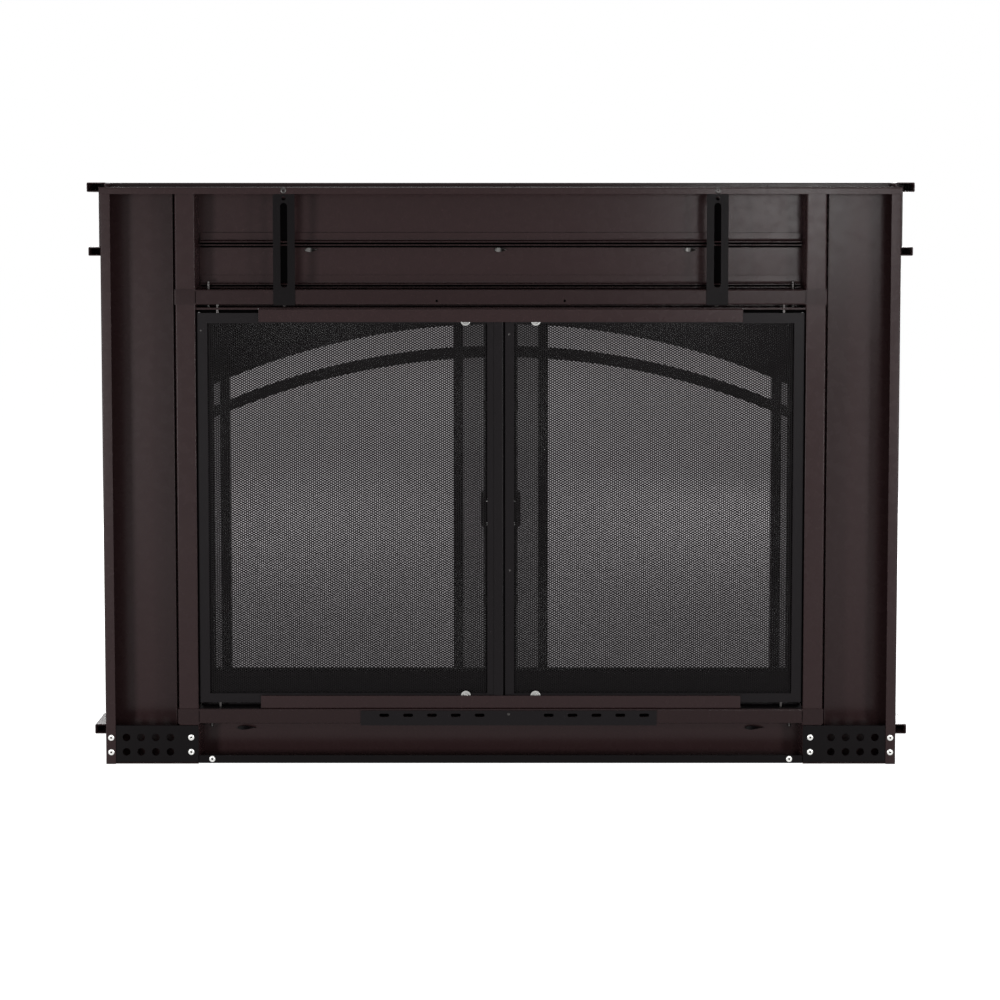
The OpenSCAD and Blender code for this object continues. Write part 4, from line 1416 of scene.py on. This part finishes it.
@dataclass
class Door(Assembly):
    """What both kinds of door have: a side, and the two oiled pins that they turn on."""

    side: Side = Side.LEFT
    pin_x: float = 422.0
    pin_r: float = 2.5
    pin_sink: float = 14.0
    pin_groove: float = 0.35

    def pin(self, x: float, d: float, z0: float, z1: float) -> Piece:
        """A hinge pin with a rounded tip and a shallow ring groove under it.

        The tip is a quarter of an ellipse: the radius times cosine across, and 0.6 of the radius
        times sine along.

        Args:
            x: its distance from the middle.
            d: its depth.
            z0: the height of the end inside the door.
            z1: the height of its tip.

        Returns:
            The new piece.
        """
        radius, length = self.pin_r, abs(z1 - z0)
        angle = np.linspace(0, math.pi / 2, 7)
        tip = list(zip(radius * np.cos(angle), length - radius * 0.6 * (1 - np.sin(angle))))
        waist, groove = radius - self.pin_groove, length - radius * 1.6
        profile = [
            (0, 0), (radius, 0), (radius, groove - 0.6), (waist, groove - 0.3),
            (waist, groove), (radius, groove + 0.3), *tip,
        ]
        return turned("pin", profile, (x, d, z0), Axis.UP if z1 > z0 else Axis.DOWN, 28)

    def pins(self, name: str, node: str, held_in: str) -> None:
        """The upper and lower hinge pins, which stand `pin_sink` deep in the door.

        Args:
            name: the new piece's name.
            node: the pins' node.
            held_in: the node of the frame or stile that holds them.
        """
        r, door = Reach.of(node), Reach.of(held_in)
        x, d = self.side.value * self.pin_x, (r.d0 + r.d1) / 2
        made = [
            self.pin(x, d, door.z1 - self.pin_sink, r.z1),
            self.pin(x, d, door.z0 + self.pin_sink, r.z0),
        ]
        self.unite(name, made, self.fine_ease, OILED, node)


@dataclass
class GlassDoor(Door):
    """One arched glass door with its frame, bars, pane, clips, handle and pins."""

    parts: tuple[str, ...] = (
        "hinge_stile", "meeting_stile", "bottom_rail", "spandrel", "arched_bars",
    )
    frame_ease: float = 0.7
    handle_ease: float = 1.3
    clip_ease: float = 0.4
    screw_x: float = 18.0
    screw_z: Pair = (346.5, 380.5)
    screw_head: float = 1.5
    screw_ease: float = 0.06
    recess_arm: float = 1.5
    recess_half: float = 0.35
    recess_deep: float = 1.1

    def build(self) -> None:
        """Builds the door's pieces and dresses its pane."""
        word = self.side.word
        for part in self.parts:
            self.copy(f"{word}_door_{part}", DOOR_BLACK, self.frame_ease, 3)
        self.copy(f"{word}_door_handle", DOOR_BLACK, self.handle_ease, 4)
        self.copy(f"{word}_door_pane_clips", OILED, self.clip_ease)
        self.dress(f"{word}_door_pane", GLASS)
        self.pins(f"{word}_glass_pins", f"{word}_door_pins", f"{word}_door_hinge_stile")
        self.screws()

    def screws(self) -> None:
        """The handle screws, with domed heads and a cross recess."""
        node = f"{self.side.word}_door_handle_screws"
        x, d = self.side.value * self.screw_x, Reach.of(node).d0
        top, long, short = self.screw_head, self.recess_arm, self.recess_half
        profile = [(0, -24), (1.6, -24), (1.6, 0), (3.2, 0), (3.1, 0.7), (2.2, 1.3), (0, top)]
        made = []
        for z in self.screw_z:
            one = turned("screw", profile, (x, d + top, z), Axis.REARWARD, 24)
            arms = [
                rectangle((x - a, x + a), (z - b, z + b))
                for a, b in ((long, short), (short, long))
            ]
            drilled(one, arms, d - OVERRUN, d + self.recess_deep)
            made.append(one)
        screws = joined(f"{self.side.word}_handle_screws", made)
        self.keep(eased(screws, self.screw_ease, 1), BRIGHT, node)


@dataclass
class MeshDoor(Door):
    """One mesh door: a welded frame, a screen of expanded metal, two strikes and two pins."""

    pin_x: float = 406.5
    pin_sink: float = 10.0
    frame_ease: float = 0.8
    strike_x: float = 50.4
    strike_r: float = 7.3
    diamond_w: float = 6.05
    diamond_h: float = 3.48
    strand_w: float = 1.42
    strand_t: float = 0.5
    tilt: float = 0.2
    under: float = 2.0
    panels: int = 3
    weld_r: float = 1.7
    welds: dict[Side, tuple[Pair, ...]] = field(default_factory=lambda: {
        Side.LEFT: ((-12.2, 623.5), (-13.1, 281.5)), Side.RIGHT: ((430.4, 628.6),),
    })

    def build(self) -> None:
        """Builds the door's pieces."""
        word = self.side.word
        self.copy(f"{word}_mesh_frame", SCREEN, self.frame_ease, 3)
        self.weld_dots()
        self.screen()
        self.strikes()
        self.pins(f"{word}_screen_pins", f"{word}_mesh_pins", f"{word}_mesh_frame")
        if self.side is Side.RIGHT:
            r = Reach.of("mesh_cover_strip")
            path = [(r.x1, r.d0), (r.x0, r.d0), (r.x0, r.d1)]
            self.sheet("mesh_cover_strip", path, Run.UPRIGHT, SCREEN)

    def weld_dots(self) -> None:
        """The low round weld dots on the rear of the frame."""
        r = Reach.of(f"{self.side.word}_mesh_frame")
        w = self.weld_r
        profile = [(0, -0.3), (w, -0.3), (w, 0.1), (w * 0.7, 0.5), (w * 0.3, 0.35), (0, 0.3)]
        made = [turned("dot", profile, (x, r.d0, z), Axis.REARWARD, 20)
                for x, z in self.welds[self.side]]
        self.keep(joined(f"{self.side.word}_weld_dots", made), OILED)

    def screen(self) -> None:
        """Fills the frame with expanded metal: upright zigzag strands that meet at knuckles.

        Point j of strand i stands at i whole steps of half a diamond, moved by a quarter of a
        diamond to the right or left by turns, and j half diamonds up. Each point has a ring of
        four corners. The strand leans in depth from knuckle to knuckle, as slit metal does.
        """
        word = self.side.word
        r = Reach.of(f"{word}_mesh")
        across, up = self.diamond_w / 2, self.diamond_h / 2
        wide = r.x1 - r.x0 + 2 * self.under
        tall = r.z1 - r.z0 + 2 * self.under
        strands, steps = int(wide / across), int(tall / up)
        x = r.x0 - self.under + across * (np.arange(strands) + 0.5) * wide / (strands * across)
        z = r.z0 - self.under + tall * np.arange(steps + 1) / steps
        swing = np.where((np.arange(steps + 1)[None] + np.arange(strands)[:, None]) % 2, 1.0, -1.0)
        half_w = self.strand_w / 2 * math.hypot(across, up) / up
        corner = np.array([[-half_w, -1], [half_w, -1], [half_w, 1], [-half_w, 1]])
        cx = x[:, None, None] + swing[..., None] * (across / 2) + corner[:, 0]
        cx = np.clip(cx, r.x0 - self.under, r.x1 + self.under)
        cd = (r.d0 + r.d1) / 2 + swing[..., None] * self.tilt + corner[:, 1] * self.strand_t / 2
        points = place(cx, cd, z[None, :, None])
        for i, part in enumerate(np.array_split(np.arange(strands), self.panels)):
            made = self.strands(f"{word}_mesh_screen_{i + 1}", points[part])
            self.keep(made, WIRE, f"{word}_mesh")

    def strands(self, name: str, points: np.ndarray) -> Piece:
        """Puts strands into one mesh: four walls between rings, and a face at each end.

        Args:
            name: the piece's name.
            points: array of strands by rings by four corners by coordinates.

        Returns:
            The new piece.
        """
        count, rings = points.shape[:2]
        first = (np.arange(count)[:, None, None] * rings + np.arange(rings - 1)[None, :, None]) * 4
        k = np.arange(4)
        n = (k + 1) % 4
        walls = np.stack(
            [first + k, first + n, first + 4 + n, first + 4 + k], axis=-1
        ).reshape(-1, 4)
        start = np.arange(count)[:, None] * rings * 4
        ends = np.concatenate([start + k[::-1], start + (rings - 1) * 4 + k])
        faces = np.concatenate([walls, ends])[:, ::-1]
        mesh = bpy.data.meshes.new(name)
        mesh.vertices.add(points.size // 3)
        mesh.vertices.foreach_set("co", points.astype(np.float32).ravel())
        mesh.loops.add(faces.size)
        mesh.loops.foreach_set("vertex_index", faces.astype(np.int32).ravel())
        mesh.polygons.add(len(faces))
        mesh.polygons.foreach_set("loop_start", np.arange(0, faces.size, 4, dtype=np.int32))
        mesh.update(calc_edges=True)
        mesh.validate()
        return linked(name, mesh)

    def strikes(self) -> None:
        """The round steel strikes: a disc with a ring groove round a raised middle."""
        node = f"{self.side.word}_mesh_strikes"
        r, radius = Reach.of(node), self.strike_r
        t = r.d1 - r.d0
        profile = [
            (0, 0), (radius, 0), (radius, t - 0.4), (radius - 0.4, t), (4.6, t), (4.1, t - 0.9),
            (2.9, t - 0.9), (2.6, t - 0.1), (1.6, t), (0, t),
        ]
        x = self.side.value * self.strike_x
        made = [
            turned("strike", profile, (x, r.d1, z), Axis.REARWARD, 40)
            for z in (r.z0 + radius, r.z1 - radius)
        ]
        self.unite(f"{self.side.word}_strikes", made, self.fine_ease, ZINC, node)


# ---- studio --------------------------------------------------------------------------


@dataclass(frozen=True)
class Lamp:
    """A square soft lamp: where it stands, the point it faces and its side in metres, its watts."""

    name: str
    at: Triple
    to: Triple
    size: float
    watts: float

    def light(self) -> None:
        """Puts the lamp into the scene and turns it towards its point."""
        light = bpy.data.lights.new("lamp_" + self.name, "AREA")
        light.size = self.size
        light.energy = self.watts
        lamp = bpy.data.objects.new("lamp_" + self.name, light)
        lamp.location = self.at
        aim = Vector(self.to) - Vector(self.at)
        lamp.rotation_euler = aim.to_track_quat("-Z", "Y").to_euler()
        bpy.context.scene.collection.objects.link(lamp)


MIDDLE = (0.0, 0.0, 0.45)  # the point that the wide lamps face, in metres


@dataclass
class Studio:
    """Floor, white background, soft lamps and the camera on the firebox side.

    The lamps at the rear are small and stand low and to the sides, apart from a wide one over
    the unit. Those at the front are wide.
    """

    floor_size: float = 40.0
    floor_z: Pair = (-0.02, -0.0004)
    floor_colour: float = 0.6
    ambient: float = 0.12
    distance: float = 2.5668
    height: float = 0.8058
    pitch: float = 3.0
    lens: float = 64.0
    sensor: float = 36.0
    shift_y: float = -0.2
    slide_x: float = 0.001
    lamps: tuple[Lamp, ...] = (
        Lamp("rear_right", (-0.68, 1.6, 0.84), (-0.4, 0.0, 0.75), 0.3, 5.6),
        Lamp("rear_left", (1.5, 2.0, 0.6), (0.3, 0.0, 0.5), 0.4, 5.6),
        Lamp("low_right", (-1.45, 1.8, 0.28), (-0.1, 0.0, 0.05), 0.3, 15.0),
        Lamp("low_left", (1.45, 1.8, 0.28), (0.1, 0.0, 0.05), 0.3, 15.0),
        Lamp("rear_top", (0.0, 1.2, 2.2), MIDDLE, 1.2, 4.0),
        Lamp("front_right", (1.5, -2.0, 1.2), MIDDLE, 1.0, 26.0),
        Lamp("front_left", (-1.3, -2.2, 0.9), MIDDLE, 1.0, 26.0),
        Lamp("front_top", (0.0, -1.4, 2.3), MIDDLE, 1.2, 14.0),
    )

    def build(self) -> None:
        """Sets the whole studio up."""
        bpy.context.scene.view_settings.view_transform = "Standard"
        self.world()
        self.floor()
        for lamp in self.lamps:
            lamp.light()
        self.camera()

    def seen_white(self, nodes: Nodes) -> Socket:
        """Makes a factor that is 1 for camera, glossy and transmission rays.

        Args:
            nodes: the node tree to build in.

        Returns:
            The factor.
        """
        path = nodes.add("LightPath")
        kinds = ("Is Camera Ray", "Is Glossy Ray", "Is Transmission Ray")
        return nodes.all_of("MAXIMUM", [path.outputs[kind] for kind in kinds])

    def world(self) -> None:
        """A world that is seen as white and lights the object at a lower level."""
        world = bpy.data.worlds.new("studio")
        bpy.context.scene.world = world
        world.use_nodes = True
        nodes = Nodes(world.node_tree)
        sky = world.node_tree.nodes["Background"]
        sky.inputs["Color"].default_value = (1, 1, 1, 1)
        level = nodes.span(self.seen_white(nodes), (self.ambient, 1.0))
        nodes.link(level, sky.inputs["Strength"])

    def floor(self) -> None:
        """A plain pale floor: a thin matt slab, whose own glow makes it white to the camera.

        The glow is one less the light of the world that the floor gives back.
        """
        half = self.floor_size / 2
        ring = rectangle((-half, half), (-half, half))
        rings = np.stack([np.insert(ring, 2, z, axis=1) for z in self.floor_z])
        slab = skin("studio_floor", rings, Cap.FACE)
        paint = bpy.data.materials.new("studio_floor")
        paint.use_nodes = True
        nodes = Nodes(paint.node_tree)
        shader = paint.node_tree.nodes["Principled BSDF"]
        shade = self.floor_colour
        shader.inputs["Base Color"].default_value = (shade, shade, shade, 1)
        shader.inputs["Roughness"].default_value = 0.9
        shader.inputs["Specular IOR Level"].default_value = 0.0
        shader.inputs["Emission Color"].default_value = (1, 1, 1, 1)
        glow = nodes.span(self.seen_white(nodes), (0.0, 1.0 - shade * self.ambient))
        nodes.link(glow, shader.inputs["Emission Strength"])
        slab.data.materials.append(paint)

    def camera(self) -> None:
        """Stands the camera behind the unit and tips it down a little."""
        lens = bpy.data.cameras.new("camera")
        lens.lens = self.lens
        lens.sensor_width = self.sensor
        lens.shift_y = self.shift_y
        lens.clip_end = 200.0
        eye = bpy.data.objects.new("camera", lens)
        eye.location = (self.slide_x, self.distance, self.height)
        eye.rotation_euler = (math.radians(90 - self.pitch), 0.0, math.radians(180))
        bpy.context.scene.collection.objects.link(eye)
        bpy.context.scene.camera = eye


def main() -> None:
    """Builds the sub-assemblies in order, then the studio."""
    logging.basicConfig(level=logging.INFO, format="%(name)s: %(message)s")
    groups = [
        Casing(), Header(), Opening(), PinSlitShades(), MouldingTabs(), Mouldings(),
        LintelStraps(), CornerPlates(), DraughtSlider(),
    ]
    for side in Side:
        groups.append(GlassDoor(body=side.word + "_glass_door", side=side))
        groups.append(MeshDoor(body=side.word + "_mesh_door", side=side))
    for group in groups:
        group.build()
        group.report()
    Studio().build()


if __name__ == "__main__":
    main()
